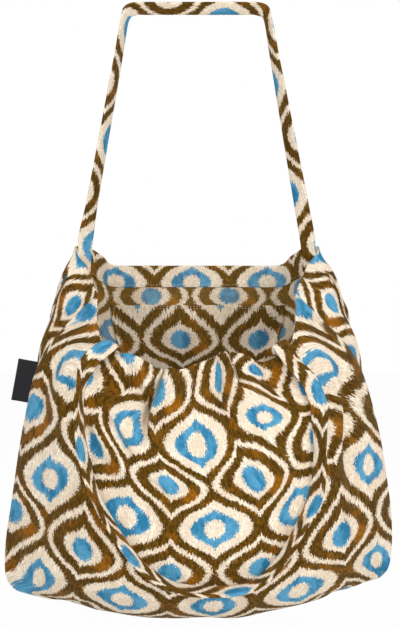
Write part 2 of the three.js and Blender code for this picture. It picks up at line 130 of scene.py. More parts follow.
# A cubic through rows of [parameter, x, y, z], whose slope at a row is the chord between its neighbours.
def smoothLine(rows):
    rows = np.array(rows, float)
    knots, values = rows[:, 0], rows[:, 1:]
    before, after = neighbours(len(knots))
    slope = (values[after] - values[before]) / (knots[after] - knots[before])[:, None]

    def at(t):
        t = np.asarray(t, float)
        i = np.searchsorted(knots[1:-1], t, side="left")
        span = (knots[i + 1] - knots[i])[..., None]
        s = (t - knots[i])[..., None] / span
        rise = s * s * (3 - 2 * s)
        lean = s * (1 - s) ** 2 * span * slope[i] + s * s * (s - 1) * span * slope[i + 1]
        return lerp(values[i], values[i + 1], rise) + lean

    return at


seamX = between(body["mouthHalf"], body["bellyHalf"])
seamY = between(body["seamTopBehind"], body["seamBehind"])
seamZ = between(seamTopZ, bottomZ)
cornerY = between(body["seamBehind"], body["bottomBehind"])
bellyY = between(-mouth["frontAhead"], -body["bellyFront"])
frontZ = between(frontTopZ, bottomZ)
backZ = between(backTopZ, bottomZ)
mouthY = between(mouth["strapBehind"], mouth["backBehind"])
shoulderY = between(body["seamBehind"], mouth["strapBehind"])
seamTop = (body["mouthHalf"], body["seamTopBehind"], seamTopZ)
seamLine = smoothLine([
    (0, *seamTop),
    (0.2, seamX(0.57), seamY(0.6), seamZ(0.19)),
    (0.4, seamX(0.793), seamY(0.92), seamZ(0.4)),
    (0.6, seamX(0.914), body["seamBehind"], seamZ(0.62)),
    (0.82, body["bellyHalf"], body["seamBehind"], seamZ(0.84)),
    (0.94, lerp(body["baseHalf"], body["bellyHalf"], 0.78), cornerY(0.17), seamZ(0.925)),
    (1, body["baseHalf"], cornerY(0.5), seamZ(0.96)),
])
frontLine = smoothLine([
    (0, 0, bellyY(0), frontTopZ),
    (0.2, 0, bellyY(0.68), frontZ(0.235)),
    (0.4, 0, bellyY(1), frontZ(0.49)),
    (0.6, 0, bellyY(0.9), frontZ(0.77)),
    (0.78, 0, bellyY(0), frontZ(0.965)),
    (1, 0, body["bottomBehind"], bottomZ),
])
backLine = smoothLine([
    (0, 0, mouth["backBehind"], backTopZ),
    (0.2, 0, lerp(mouth["backBehind"], body["bellyBack"], 0.7), backZ(0.2)),
    (0.4, 0, body["bellyBack"], backZ(0.4)),
    (0.6, 0, body["bellyBack"] * 0.98, backZ(0.6)),
    (0.8, 0, lerp(body["bottomBehind"], body["bellyBack"], 0.76), backZ(0.81)),
    (1, 0, body["bottomBehind"], bottomZ),
])
backEdge = smoothLine([
    (0, 0, mouth["backBehind"], backTopZ),
    (0.22, mouth["backHalf"] * 0.6, mouth["backBehind"], backTopZ),
    (0.34, mouth["backHalf"] * 0.945, mouthY(0.99), backTopZ),
    (0.36, mouth["backHalf"], mouthY(0.94), lerp(backTopZ, highZ, 0.04)),
    (0.39, mouth["backHalf"] * 1.05, mouthY(0.78), lerp(backTopZ, highZ, 0.17)),
    (strapEndU - strapRest, mouth["strapHalf"] - strap["rest"] * 0.87,
     mouth["strapBehind"] + strap["rest"] / 2, lerp(highZ, backTopZ, 0.17)),
    (strapEndU, mouth["strapHalf"], mouth["strapBehind"], highZ),
    (strapEndU + strapRest, mouth["strapHalf"] + strap["rest"] * 0.75,
     mouth["strapBehind"] - strap["rest"] / 2, lerp(highZ, backTopZ, 0.05)),
    (0.69, body["mouthHalf"] + mouth["bow"] + strap["rest"] * 0.8, shoulderY(0.7),
     lerp(highZ, seamTopZ, 0.18)),
    (0.76, body["mouthHalf"] + mouth["bow"], shoulderY(0.55), lerp(highZ, seamTopZ, 0.4)),
    (1, *seamTop),
])
frontEdge = smoothLine([
    (0, 0, -mouth["frontAhead"], frontTopZ),
    (0.3, mouth["frontStrapHalf"] * 0.52, -mouth["frontAhead"] * 1.035, frontTopZ - mouth["frontSag"]),
    (strapEndU, mouth["frontStrapHalf"], -mouth["frontAhead"] * 0.93, frontTopZ + 2.5 * mouth["frontSag"]),
    (0.78, lerp(mouth["frontStrapHalf"], body["mouthHalf"], 0.72), -mouth["frontAhead"] / 2,
     lerp(frontTopZ, seamTopZ, 0.45)),
    (1, *seamTop),
])

# How far the hem stands above the plain line of the edge, mm, from the left seam to the right one
frontHem = smoothLine([
    (-1, 0), (-0.57, 0), (-0.42, 1), (-0.27, -5), (-0.2, -4), (-0.1, -10.5), (0, -5), (0.055, 1.5),
    (0.11, 8), (0.16, 9), (0.26, 7.5), (0.42, 0), (0.57, 0), (1, 0),
])
backHem = smoothLine([(-1, 0), (1, 0)])

# Folds: across, drift per unit of depth, first and last depth, half width, sink (negative stands proud)
frontFolds = [
    (-0.22, -0.05, 0, 0.36, 0.055, 0.75),
    (-0.43, 0, 0, 0.1, 0.1, -0.76),
    (-0.43, 0.05, 0.02, 0.24, 0.1, 0.65),
    (0.1, 0.05, 0, 0.3, 0.065, 0.71),
    (0.3, 0.1, 0, 0.26, 0.09, -0.24),
    (0.42, -0.1, 0, 0.2, 0.07, 0.47),
    (-0.78, 0.9, 0.12, 0.5, 0.06, 0.47),
    (-0.56, 0.7, 0.34, 0.62, 0.06, 0.29),
    (0.86, -0.15, 0.08, 0.72, 0.06, 0.47),
    (-0.84, -0.05, 0.02, 0.45, 0.065, 0.47),
    (0.66, 0.1, 0.02, 0.4, 0.07, 0.35),
]
shoulder = -body["shoulderBulge"] / body["foldDeep"]
backFolds = [
    (-0.4, 0.05, 0, 0.45, 0.05, -0.29),
    (0.4, -0.05, 0, 0.45, 0.05, -0.29),
    (-0.72, 0, 0.001, 0.5, 0.24, shoulder),
    (0.72, 0, 0.001, 0.5, 0.24, shoulder * 1.25),
    (-0.7, 0, 0.001, 0.13, 0.16, -0.75),
    (0.7, 0, 0.001, 0.13, 0.16, -1.05),
    (-0.74, -0.1, 0.08, 0.5, 0.08, 0.41),
    (0.76, 0.1, 0.08, 0.46, 0.08, 0.41),
    (-0.1, 0.3, 0.3, 0.85, 0.1, 0.35),
    (0.3, -0.3, 0.4, 0.9, 0.1, 0.35),
]
# Fine creases: where one starts and ends (across, down), half width, depth and the lip beside it, mm
frontCreases = [
    ((-0.205, 0.0), (-0.24, 0.27), 3.4, 8, 3),
    ((0.212, 0.0), (0.23, 0.11), 3.2, 6, 2),
    ((0.135, 0.04), (0.105, 0.19), 4, 5, 1.5),
    ((-0.21, 0.308), (0.042, 0.347), 5, 2.5, 1.5),
    ((0.85, 0.1), (0.8, 0.6), 8, 3, 1.5),
    ((-0.88, 0.1), (-0.84, 0.5), 8, 3, -1.5),
    ((-0.72, 0.06), (-0.62, 0.3), 6, 2.5, 1.2),
    ((-0.7, 0.9), (-0.45, 0.74), 9, 3, 1.5),
    ((0.72, 0.9), (0.5, 0.76), 9, 3, 1.5),
    ((-0.9, 0.62), (-0.6, 0.7), 9, 2.5, 1.2),
]
backCreases = [
    ((-0.56, 0.04), (-0.3, 0.34), 7, 3, 1.5),
    ((0.56, 0.04), (0.28, 0.38), 7, 3, 1.5),
    ((-0.82, 0.2), (-0.6, 0.5), 8, 3, 1.5),
    ((0.84, 0.16), (0.66, 0.52), 8, 3, 1.5),
    ((-0.66, 0.92), (-0.3, 0.7), 10, 3, 1.5),
    ((0.7, 0.9), (0.24, 0.72), 10, 3, 1.5),
    ((-0.2, 0.5), (0.24, 0.62), 12, 2.5, 1.2),
]
# Drapes: the cloth on one side of a line sinks behind the other, on the left for side -1.
# Rows are how far down, the line's place across, and the depth, mm
frontDrapes = [
    {"side": -1, "wide": 24, "rows": [
        (0.0, -0.5, 0), (0.015, -0.43, 5), (0.042, -0.335, 11), (0.087, -0.255, 14), (0.127, -0.235, 13),
        (0.195, -0.225, 8), (0.275, -0.255, 0)]},
    {"side": -1, "wide": 22, "rows": [
        (0.14, -0.46, 0), (0.167, -0.43, 6), (0.23, -0.358, 9), (0.297, -0.305, 6), (0.33, -0.28, 0)]},
    {"side": -1, "wide": 14, "rows": [
        (0.33, -0.26, 0), (0.348, -0.237, 4), (0.377, -0.182, 6), (0.403, -0.122, 4), (0.42, -0.09, 0)]},
    {"side": 1, "wide": 16, "rows": [
        (0.0, 0.245, 4), (0.02, 0.225, 6), (0.048, 0.215, 6), (0.095, 0.225, 4), (0.13, 0.24, 0)]},
]
front = {"facing": -1, "middle": frontLine, "edge": frontEdge, "hem": frontHem, "reach": 0.6, "seed": 3.0,
         "folds": frontFolds, "creases": frontCreases, "drapes": frontDrapes, "columns": 231, "rows": 170}
back = {"facing": 1, "middle": backLine, "edge": backEdge, "hem": backHem, "reach": 0.5, "seed": 8.0,
        "folds": backFolds, "creases": backCreases, "drapes": [], "columns": 221, "rows": 160}
# Where forms in the cloth die out: shares of the way out to the side seam, and shares of the height
fading = {"foldSide": 0.9, "creaseSide": 0.93, "rumpleSide": 0.95, "seam": 0.94, "mitre": 0.92,
          "holdHalf": 0.09, "holdDown": (0.06, 0.16), "hemDown": 0.2, "rumpleDown": (0.02, 0.12)}
# Shares of a fold's length where it is fully in and where it starts to fade
foldForm = {"begun": 0.35, "ending": 0.3}
# Rumples: heights of the waves in mm, and the share of them that is left at the hem
rumpleForm = {"broad": 0.9, "slant": 0.5, "small": 0.35, "atHem": 0.35}
# A crease bows, begins and ends by shares of its length, or begins at the hem, mm. Its lip is in half widths
creaseForm = {"bow": 0.05, "begin": (-0.02, 0.3), "end": (0.55, 1.05), "atHem": (-6, -5), "lipOff": 1.7,
              "lipWide": 1.5}
# Powers of a panel's section: how cloth is spread across, how full it is, and how it sags between the seams.
# The rest are shares of the height and the width where the change from one to the other takes place
pillow = {"spreadTop": 1.7, "spreadLow": 1.04, "spreadDown": 0.45, "fullTop": 2.4, "fullLow": 3,
          "fullDown": (0.5, 0.8), "sag": 2.4, "sagSharp": 1.2, "swayDown": 0.5, "tuckAcross": 0.4,
          "tuckDown": (0.6, 0.9)}


# How firmly a strap end holds the cloth still, which weakens sideways and downwards.
def strapHold(u, v):
    across = (abs(u) - strapEndU) / fading["holdHalf"]
    return np.exp(-across ** 2) * (1 - smooth(v, *fading["holdDown"]))


# Folds are bell curves across, faded in and out with depth. They die out at the side seams and at strap ends.
def foldDepth(folds, u, v):
    fade = 1 - smooth(abs(u), fading["foldSide"], 1)
    depth = np.zeros(np.broadcast(u, v).shape)
    for at, drift, first, last, wide, sink in folds:
        begin = smooth(v, first, lerp(first, last, foldForm["begun"])) if first > 0 else 1
        end = 1 - smooth(v, lerp(first, last, foldForm["ending"]), last)
        depth = depth + sink * np.exp(-((u - at - drift * v) / wide) ** 2) * begin * end
    return body["foldDeep"] * depth * fade * (1 - strapHold(u, v))


# A crease is a narrow bell across a bowed line on the flat cloth, with a softer lip on one side of it.
def creaseDepth(creases, u, v):
    scale = np.array([body["halfWidth"], body["height"]])
    flat = np.stack(np.broadcast_arrays(u, v), -1) * scale
    depth = np.zeros(flat.shape[:-1])
    for start, end, wide, deep, lip in creases:
        a, b = np.array(start) * scale, np.array(end) * scale
        run = np.linalg.norm(b - a)
        along = (flat - a) @ ((b - a) / run)
        off = (flat - a) @ (np.array([a[1] - b[1], b[0] - a[0]]) / run)
        off = off - creaseForm["bow"] * run * np.sin(np.pi * np.clip(along / run, 0, 1))
        fromHem = start[1] == 0
        begin = smooth(along, *creaseForm["atHem"]) if fromHem else smooth(along / run, *creaseForm["begin"])
        reach = begin * (1 - smooth(along / run, *creaseForm["end"]))
        groove = deep * np.exp(-(off / wide) ** 2)
        lipOff = (off - creaseForm["lipOff"] * wide * np.sign(lip)) / (creaseForm["lipWide"] * wide)
        depth = depth + reach * (groove - abs(lip) * np.exp(-lipOff ** 2))
    return depth * (1 - smooth(abs(u), fading["creaseSide"], 1))


# A drape is a step across a curve, as deep as its row says, that dies away with distance on the sunk side.
def drapeDepth(drapes, u, v):
    depth = np.zeros(np.broadcast(u, v).shape)
    for drape in drapes:
        rows = drape["rows"]
        line = smoothLine(rows)(np.clip(v, rows[0][0], rows[-1][0]))
        off = drape["side"] * (u - line[..., 0]) * body["halfWidth"]
        step = 0.5 + 0.5 * np.tanh(off / cloth["thick"])
        depth = depth + line[..., 1] * step * np.exp(-np.maximum(off, 0) / drape["wide"])
    return depth


# Slack in the cloth: a few waves at odd angles, with lengths in mm, that add up to uneven, shallow rumples.
def rumple(seed, u, v):
    x, y = u * body["halfWidth"], v * body["height"]
    broad = np.sin(x / 17 + 0.9 * np.sin(y / 46 + seed) + seed) * np.sin(y / 39 + 0.8 * np.sin(x / 52 - seed))
    slant = np.sin((x + 0.7 * y) / 12.5 + 1.3 * np.sin(y / 31) + 2 * seed) * np.sin(x / 47 - y / 63 + seed)
    small = np.sin((y - 0.4 * x) / 9.5 + 1.1 * np.sin(x / 25 + seed)) * np.sin(x / 36 + y / 41)
    wave = rumpleForm["broad"] * broad + rumpleForm["slant"] * slant + rumpleForm["small"] * small
    fade = lerp(rumpleForm["atHem"], 1, smooth(v, *fading["rumpleDown"]))
    return wave * fade * (1 - smooth(abs(u), fading["rumpleSide"], 1)) * (1 - strapHold(u, v))


# The smooth panel: a pillow section at each depth v between the side seams, drawn to the mouth edge on top.
def panelBase(panel, u, v):
    side = abs(u)
    seam, middle, edge = seamLine(v), panel["middle"](v), panel["edge"](side)
    top, middleTop = np.array(seamTop), panel["middle"](0.0)
    spread = lerp(pillow["spreadTop"], pillow["spreadLow"], smooth(v, 0, pillow["spreadDown"]))
    across = 1 - (1 - side) ** spread
    bulge = 1 - side ** lerp(pillow["fullTop"], pillow["fullLow"], smooth(v, *pillow["fullDown"]))
    sag = (1 - side ** pillow["sag"]) ** pillow["sagSharp"]
    pull = np.clip(1 - v / panel["reach"], 0, 1) ** 2
    x = seam[..., 0] * across + (edge[..., 0] - top[0] * (1 - (1 - side) ** pillow["spreadTop"])) * pull
    y = lerp(seam[..., 1], middle[..., 1], bulge) + (edge[..., 1] - lerp(top[1], middleTop[1], bulge)) * pull
    z = lerp(seam[..., 2], middle[..., 2], sag) + (edge[..., 2] - lerp(top[2], middleTop[2], sag)) * pull
    x = x * np.sign(u) + body["sway"] * smooth(v, 0, pillow["swayDown"])
    x = x - body["rightTuck"] * smooth(u, pillow["tuckAcross"], 1) * smooth(v, *pillow["tuckDown"])
    hem = panel["hem"](u)[..., 0] * (1 - smooth(v, 0, fading["hemDown"]))
    z = z + body["rightLift"] / 2 * u * v * v + hem
    return np.stack([x, y, z], -1)


# Outward direction: the cross product of small steps across and down.
def outward(surface, facing, u, v, step=0.004):
    alongU = surface(np.minimum(u + step, 1), v) - surface(np.maximum(u - step, -1), v)
    alongV = surface(u, np.minimum(v + step, 1)) - surface(u, np.maximum(v - step, 0))
    return facing * unit(np.cross(alongU, alongV))


# The left seam opens by half the tab's thickness where the tab is sewn in, and closes past its two ends.
def tabOpening(u, v):
    down, bottom = v * body["height"], tab["down"] + tab["wide"]
    far, near = (share * tab["wide"] for share in tab["opening"])
    begin = smooth(down, tab["down"] - far, tab["down"] - near)
    end = 1 - smooth(down, bottom + near, bottom + far)
    return np.where(u > 0, 0, (tab["thick"] / 2 + cloth["gap"] / 2) * begin * end)


def panelPoint(panel, u, v):
    u, v = np.broadcast_arrays(np.asarray(u, float), np.asarray(v, float))

    def base(a, b):
        return panelBase(panel, a, b)

    sink = foldDepth(panel["folds"], u, v) + creaseDepth(panel["creases"], u, v)
    sink = sink + drapeDepth(panel["drapes"], u, v) + rumple(panel["seed"], u, v)
    point = base(u, v) - outward(base, panel["facing"], u, v) * sink[..., None]
    nearSeam = np.maximum(smooth(abs(u), fading["seam"], 1), smooth(v, fading["seam"], 1))
    point[..., 1] += panel["facing"] * nearSeam * (cloth["gap"] / 2 + tabOpening(u, v))
    return point


def panelNormal(panel, u, v):
    return outward(lambda a, b: panelPoint(panel, a, b), panel["facing"], u, v)


# A point sunk into the cloth by a depth. At the seams both panels share the direction, so they meet flat.
def layerPoint(panel, u, v, depth):
    u, v, depth = np.broadcast_arrays(*(np.asarray(a, float) for a in (u, v, depth)))
    mitreSide, mitreBottom = smooth(abs(u), fading["mitre"], 1), smooth(v, fading["mitre"], 1)
    inward = -panelNormal(panel, u, v) * (1 - np.maximum(mitreSide, mitreBottom))[..., None]
    inward[..., 0] -= np.sign(u) * mitreSide
    inward[..., 2] += mitreBottom
    return panelPoint(panel, u, v) + unit(inward) * depth[..., None]


# Pattern lattice: how far apart the medallions repeat across and down the cloth
lattice = {"across": 93.5, "down": 88.0}
# Where the photograph shows the front panel's medallions, measured on it: lattice place (i, j), then pixels
# across and down. Rows between whole and half places are the edges of a ring or of the cream round a dot
medallionPixels = np.array([
    (0, 0, 214, 529), (-1, 0, 126, 517), (1, 0, 296, 507), (2, 0, 368.5, 465), (-2, 0, 50, 478),
    (0, 1, 198, 444.5), (-1, 1, 126, 428), (1, 1, 264, 416.5), (2, 1, 319, 366), (-2, 1, 70, 368),
    (0, -1, 214, 606), (-1, -1, 122, 600), (1, -1, 298, 591), (2, -1, 376, 560), (-2, -1, 39, 578),
    (-0.5, 0.5, 168.5, 485), (0.5, 0.5, 255, 480), (-1.5, 0.5, 96.5, 446), (1.5, 0.5, 318, 434),
    (-0.5, -0.5, 170, 573), (0.5, -0.5, 260, 567), (-1.5, -0.5, 82, 550), (1.5, -0.5, 343, 536),
    (-2.5, -0.5, 15, 509), (-2.5, 0.5, 33, 406), (-0.5, 1.5, 155, 396), (0.5, 1.5, 219, 376),
    (1.5, 1.5, 256, 370.5), (-2.5, 1.5, 84, 311), (2.5, 1.5, 304, 307),
    (2, 0.215, 369, 444.5), (2, -0.215, 369, 485.5), (1.745, 0, 355.5, 465), (2.255, 0, 382, 465),
    (-2, 0.215, 50, 456.5), (-2, -0.215, 50, 501.5), (-2.255, 0, 33, 479), (-1.745, 0, 67.5, 479),
    (0, 1.215, 196, 420), (0, 0.785, 202, 467.5), (-0.255, 1, 175, 446), (0.255, 1, 217.5, 444),
    (1, 1.215, 264, 402.5), (1, 0.785, 264, 430.5), (0.745, 1, 247, 416), (1.255, 1, 281.5, 416.5),
    (2, 1.215, 321, 349.5), (2, 0.785, 323, 385), (2.255, 1, 337, 366), (2, 0.5, 355, 414),
    (-0.387, 1.5, 164.5, 396), (0, 1.5, 193.5, 392.5), (0.25, 1.5, 210, 376), (0.75, 1.5, 225, 376),
    (0.5, 1.29, 222, 402), (1.25, 1.5, 243.5, 370.5), (1.75, 1.5, 270.5, 371), (1.5, 1.29, 256, 378.5),
    (0.25, 0.5, 234.5, 481), (0.75, 0.5, 274.5, 478), (-1.5, 1.4, 124, 357), (-1.5, 1.29, 126, 376),
    (-1.5, 1.165, 125, 391), (2, -0.785, 377, 543),
    (2, -1.215, 376, 579), (-2, -0.785, 40, 557.5), (-2, -1.215, 40, 596.5), (-2, 1.215, 69, 350.5),
    (-2, 0.785, 70, 389), (-2.255, 1, 57, 370), (2.4, 1.5, 298, 307), (2.52, 1.6, 305, 297.5),
    (2.44, 1.383, 300, 318), (2.6, 1.41, 310.5, 315.5), (2.59, 1.53, 310, 304), (-2.4, 1.5, 90, 311),
    (-2.5, 1.6, 84, 302), (-2.44, 1.383, 88, 322), (-2.6, 1.41, 78, 319.5), (-2.59, 1.53, 78.5, 308),
    (-1.745, 1, 91, 383), (-1.6, 1, 97, 388), (-2.255, -1, 23, 577), (-1.745, -1, 54.5, 580),
    (1.745, -1, 363, 562), (2.255, -1, 389, 557.5),
])
# The plate bent through them: its unit in mm, its slack at each, and the grid that pixels are looked up on
plate = {"unit": 100, "slack": 0.005, "across": 601, "down": 451}
backPlace = {"i": 0.09, "j": 2.92, "shrink": 1.06, "gather": 4.75, "gatherHalf": 0.8, "drop": 10,
             "dropFrom": 0.55, "dropTo": 0.95}
# Cloth swallowed by a crease: the crease's two ends, and how far either side is drawn in at its upper end
frontTucks = [((-0.212, 0.0), (-0.241, 0.28), 0.035), ((0.212, 0.0), (0.23, 0.11), 0.04)]
tuckForm = {"fadeFrom": 0.45, "reach": 0.1}


# Where a place on the front panel would lie across, if its tucks were let out.
def untucked(u, v):
    spread = u
    for (startU, startV), (endU, endV), drawn in frontTucks:
        off = u - lerp(startU, endU, (v - startV) / (endV - startV))
        fade = 1 - smooth(v, lerp(startV, endV, tuckForm["fadeFrom"]), endV)
        spread = spread + drawn * fade * np.sign(off) * np.exp(-abs(off) / tuckForm["reach"])
    return spread


# The place on the front panel that a pixel of the photograph shows, through this camera.
def underPixels(pixels):
    u, v = np.meshgrid(np.linspace(-1, 1, plate["across"]), np.linspace(0, 1, plate["down"]))
    points = panelPoint(front, u, v)
    sight = points - np.array(view["at"]) / mm
    focal = view["lens"] / view["sensor"] * view["high"]
    across = view["wide"] / 2 + focal * sight[..., 0] / sight[..., 1]
    down = view["high"] / 2 - focal * sight[..., 2] / sight[..., 1]
    normal = np.cross(np.gradient(points, axis=1), np.gradient(points, axis=0)) * front["facing"]
    turnedAway = np.where((normal * sight).sum(-1) < 0, 0, np.inf)
    found = [np.argmin((across - x) ** 2 + (down - y) ** 2 + turnedAway) for x, y in pixels]
    return np.stack([u.ravel()[found], v.ravel()[found]], 1)


# A thin plate bent through the medallions: the pattern's place anywhere on the front panel.
def frontFabric(u, v):
    scale = np.array([body["halfWidth"], body["height"]]) / plate["unit"]
    places = underPixels(medallionPixels[:, 2:])
    places[:, 0] = untucked(places[:, 0], places[:, 1])
    anchors = places * scale

    def kernel(points):
        gap = np.linalg.norm(points[..., None, :] - anchors, axis=-1)
        return gap ** 2 * np.log(np.maximum(gap, 1e-9))

    count = len(anchors)
    system = np.zeros((count + 3, count + 3))
    system[:count, :count] = kernel(anchors) + plate["slack"] * np.eye(count)
    system[:count, count] = 1
    system[:count, count + 1:] = anchors
    system[count:, :count] = system[:count, count:].T
    goal = np.zeros((count + 3, 2))
    goal[:count] = medallionPixels[:, :2]
    weight = np.linalg.solve(system, goal)
    points = np.stack(np.broadcast_arrays(untucked(u, v) * scale[0], v * scale[1]), -1)
    return kernel(points) @ weight[:count] + weight[count] + points @ weight[count + 1:]


# Elsewhere the cloth lies flat on the lattice: millimetres across and down from a chosen place.
def flatFabric(across, down, place):
    across, down = np.broadcast_arrays(across, down)
    return np.stack([place["i"] + across / lattice["across"], place["j"] - down / lattice["down"]], -1)


def backFabric(u, v):
    across = u * body["halfWidth"] * backPlace["shrink"]
    across = across + backPlace["gather"] * np.sin(np.pi * u / backPlace["gatherHalf"])
    drop = backPlace["drop"] * smooth(-u, backPlace["dropFrom"], backPlace["dropTo"])
    return flatFabric(across, v * body["height"] + drop, backPlace)


# Puts vertices (mm), faces and a lattice place for each face corner into a mesh object.
def putMesh(name, points, faces, cornerUv, materials, faceMaterial, sharpDegrees=60):
    mesh = bpy.data.meshes.new(name)
    mesh.from_pydata((points * mm).tolist(), [], faces.tolist())
    layer = mesh.uv_layers.new(name="fabric")
    layer.data.foreach_set("uv", cornerUv.astype(np.float32).ravel())
    for material in materials:
        mesh.materials.append(material)
    mesh.polygons.foreach_set("material_index", faceMaterial.astype(np.int32))
    mesh.polygons.foreach_set("use_smooth", np.ones(len(faces), bool))
    mesh.set_sharp_from_angle(angle=math.radians(sharpDegrees))
    mesh.update()
    return addObject(name, mesh)


# Quads of a grid of rows by columns whose vertices start at an offset.
def gridQuads(rows, columns, offset=0):
    a = (np.arange(rows - 1)[:, None] * columns + np.arange(columns - 1)).ravel() + offset
    return np.stack([a, a + 1, a + columns + 1, a + columns], 1)


# Quads round a tube of rings, each of so many points.
def tubeQuads(rings, around):
    start = np.arange(rings - 1)[:, None] * around
    a = (start + np.arange(around)).ravel()
    b = (start + (np.arange(around) + 1) % around).ravel()
    return np.stack([a, b, b + around, a + around], 1)


# A closed cloth from an outer and an inner grid with the same rows and columns; its rim joins their edges.
def slab(name, outer, inner, uv, facing, materials):
    rows, columns = outer.shape[:2]
    count = rows * columns
    top, end = np.arange(columns), (rows - 1) * columns + np.arange(columns)
    left, right = np.arange(rows) * columns, np.arange(rows) * columns + columns - 1
    edges = (top, right, end[::-1], left[::-1])
    rims = [np.stack([e[:-1], e[:-1] + count, e[1:] + count, e[1:]], 1) for e in edges]
    quads = [gridQuads(rows, columns), gridQuads(rows, columns, count)[:, ::-1], *rims]
    faces = np.concatenate(quads)
    kind = np.concatenate([np.full(len(q), 1 if k == 1 else 0) for k, q in enumerate(quads)])
    if facing < 0:
        faces = faces[:, ::-1]
    flatUv = np.concatenate([uv.reshape(-1, 2)] * 2)
    points = np.concatenate([outer.reshape(-1, 3), inner.reshape(-1, 3)])
    return putMesh(name, points, faces, flatUv[faces], materials, kind)


# How much a free edge is rounded off at a distance from it: a half circle across the cloth's thickness.
def edgeRound(distance, radius, steepest=0.995):
    near = np.clip(1 - distance / radius, 0, steepest)
    return radius * (1 - np.sqrt(1 - near ** 2))


# Grid lines by a free edge, mm from it, and where the even ones begin
hemSteps = np.array([0, 0.12, 0.35, 0.8, 1.6, 3.0])
evenFrom = 5
# Depths from a panel's outer face: where its facing and the pocket start, and the middle of a strap end
facingDepth = cloth["thick"] + cloth["gap"]
pocketDepth = cloth["thick"] + 3 * cloth["gap"]
tailDepth = facingDepth + cloth["facingThick"] + strap["seat"] + strap["thick"] / 2


# Distances across a strip: even between a margin at either end, and fine steps inside the margins.
def edgedSteps(long, count, nearMargin, farMargin):
    near, far = hemSteps[hemSteps < nearMargin], hemSteps[hemSteps < farMargin]
    return np.concatenate([near, np.linspace(nearMargin, long - farMargin, count), long - far[::-1]])


# The two faces of a layer of cloth that starts at a depth, with a cut taken off both at its free edges.
def layerFaces(panel, u, v, depth, thick, cut):
    return layerPoint(panel, u, v, depth + cut), layerPoint(panel, u, v, depth + thick - cut)


def panelPiece(name, panel, fabric, materials):
    us = np.linspace(-1, 1, panel["columns"])[None, :]
    down = edgedSteps(body["height"], panel["rows"], evenFrom, 0)[:, None]
    vs = down / body["height"]
    outer, inner = layerFaces(panel, us, vs, 0, cloth["thick"], edgeRound(down, cloth["hemRound"]))
    return slab(name, outer, inner, fabric(us, vs), panel["facing"], materials)


def facingPiece(name, panel, place, materials):
    us = cloth["facingEndU"] * np.linspace(-1, 1, cloth["facingColumns"])[None, :]
    deep = cloth["facingDeep"]
    down = edgedSteps(deep, cloth["facingRows"], evenFrom, hemSteps[-1])[:, None]
    cut = edgeRound(np.minimum(down, deep - down), cloth["facingRound"])
    near, far = layerFaces(panel, us, down / body["height"], facingDepth, cloth["facingThick"], cut)
    uv = flatFabric(us * body["halfWidth"] * place["shrink"], down, place)
    return slab(name, far, near, uv, -panel["facing"], materials)


def pocketPiece(name, place, materials):
    half, deep = pocket["half"], pocket["deep"]
    x = edgedSteps(2 * half, pocket["columns"], evenFrom, evenFrom)[None, :] - half
    down = edgedSteps(deep, pocket["rows"], evenFrom, evenFrom)[:, None]
    cut = edgeRound(np.minimum(np.minimum(half - abs(x), deep - down), down), cloth["facingRound"])
    us, vs = x / body["halfWidth"], (pocket["top"] + down) / body["height"]
    near, far = layerFaces(back, us, vs, pocketDepth, cloth["facingThick"], cut)
    across = place["i"] + x * place["shrink"] / lattice["across"]
    uv = np.stack(np.broadcast_arrays(across, np.interp(down, *place["rows"])), -1)
    return slab(name, far, near, uv, -back["facing"], materials)


# Strap section: a flattened tube |x/a|^p + |y/b|^p = 1, worked out by angle.
def strapSection(count):
    angle = np.linspace(0, 2 * np.pi, count, endpoint=False)
    power = 2 / strap["sectionPower"]
    x = strap["wide"] / 2 * np.sign(np.cos(angle)) * abs(np.cos(angle)) ** power
    y = strap["thick"] / 2 * np.sign(np.sin(angle)) * abs(np.sin(angle)) ** power
    return np.stack([x, y], 1)


# A curve through points whose pace in each span goes with the square root of its length, and its tangent.
def routeLine(points, t):
    padded = np.concatenate([[2 * points[0] - points[1]], points, [2 * points[-1] - points[-2]]])
    at = t * (len(points) - 1)
    i = np.minimum(at.astype(int), len(points) - 2)
    s = (at - i)[:, None]
    p0, p1, p2, p3 = (padded[i + k] for k in range(4))
    d0, d1, d2 = (np.sqrt(np.linalg.norm(b - a, axis=1))[:, None] for a, b in ((p0, p1), (p1, p2), (p2, p3)))
    m1 = ((p1 - p0) / d0 - (p2 - p0) / (d0 + d1) + (p2 - p1) / d1) * d1
    m2 = ((p2 - p1) / d1 - (p3 - p1) / (d1 + d2) + (p3 - p2) / d2) * d1
    c2, c3 = -3 * p1 + 3 * p2 - 2 * m1 - m2, 2 * p1 - 2 * p2 + m1 + m2
    return p1 + m1 * s + c2 * s ** 2 + c3 * s ** 3, unit(m1 + 2 * c2 * s + 3 * c3 * s ** 2)


# Rings of a strap end on the inner face of a facing, from its cut end to the mouth edge.
def tailRings(panel, endU, leaving, section):
    turn = panel["facing"] * (1 if leaving else -1)
    down = np.linspace(strap["tail"], cloth["gap"], strap["tailRings"])[:, None]
    rings = layerPoint(panel, endU + turn * section[:, 0] / body["halfWidth"], down / body["height"],
                       tailDepth + section[:, 1])
    return rings if leaving else rings[::-1]


# Rings along a free strap: its middle line, and the direction that its inner face looks in.
def freeRings(points, faces, steps, section):
    points, faces = np.array(points), np.array(faces)
    t = np.linspace(0, 1, steps)
    middle, tangent = routeLine(points, t)
    at = t * (len(points) - 1)
    i = np.minimum(at.astype(int), len(points) - 2)
    share = (at - i)[:, None]
    face = squareTo(lerp(faces[i], faces[i + 1], (smooth(share, 0, 1) + share) / 2), tangent)
    across = np.cross(tangent, face)
    return middle[:, None] + across[:, None] * section[:, :1] + face[:, None] * section[:, 1:]


# A whole strap: sewn down at its left end, free along its points, and sewn down at its right end.
def strapRings(panel, points, faces, steps, section):
    left, right = (tailRings(panel, side * strapEndU, side < 0, section) for side in (-1, 1))
    return np.concatenate([left, freeRings(points, faces, steps, section), right])


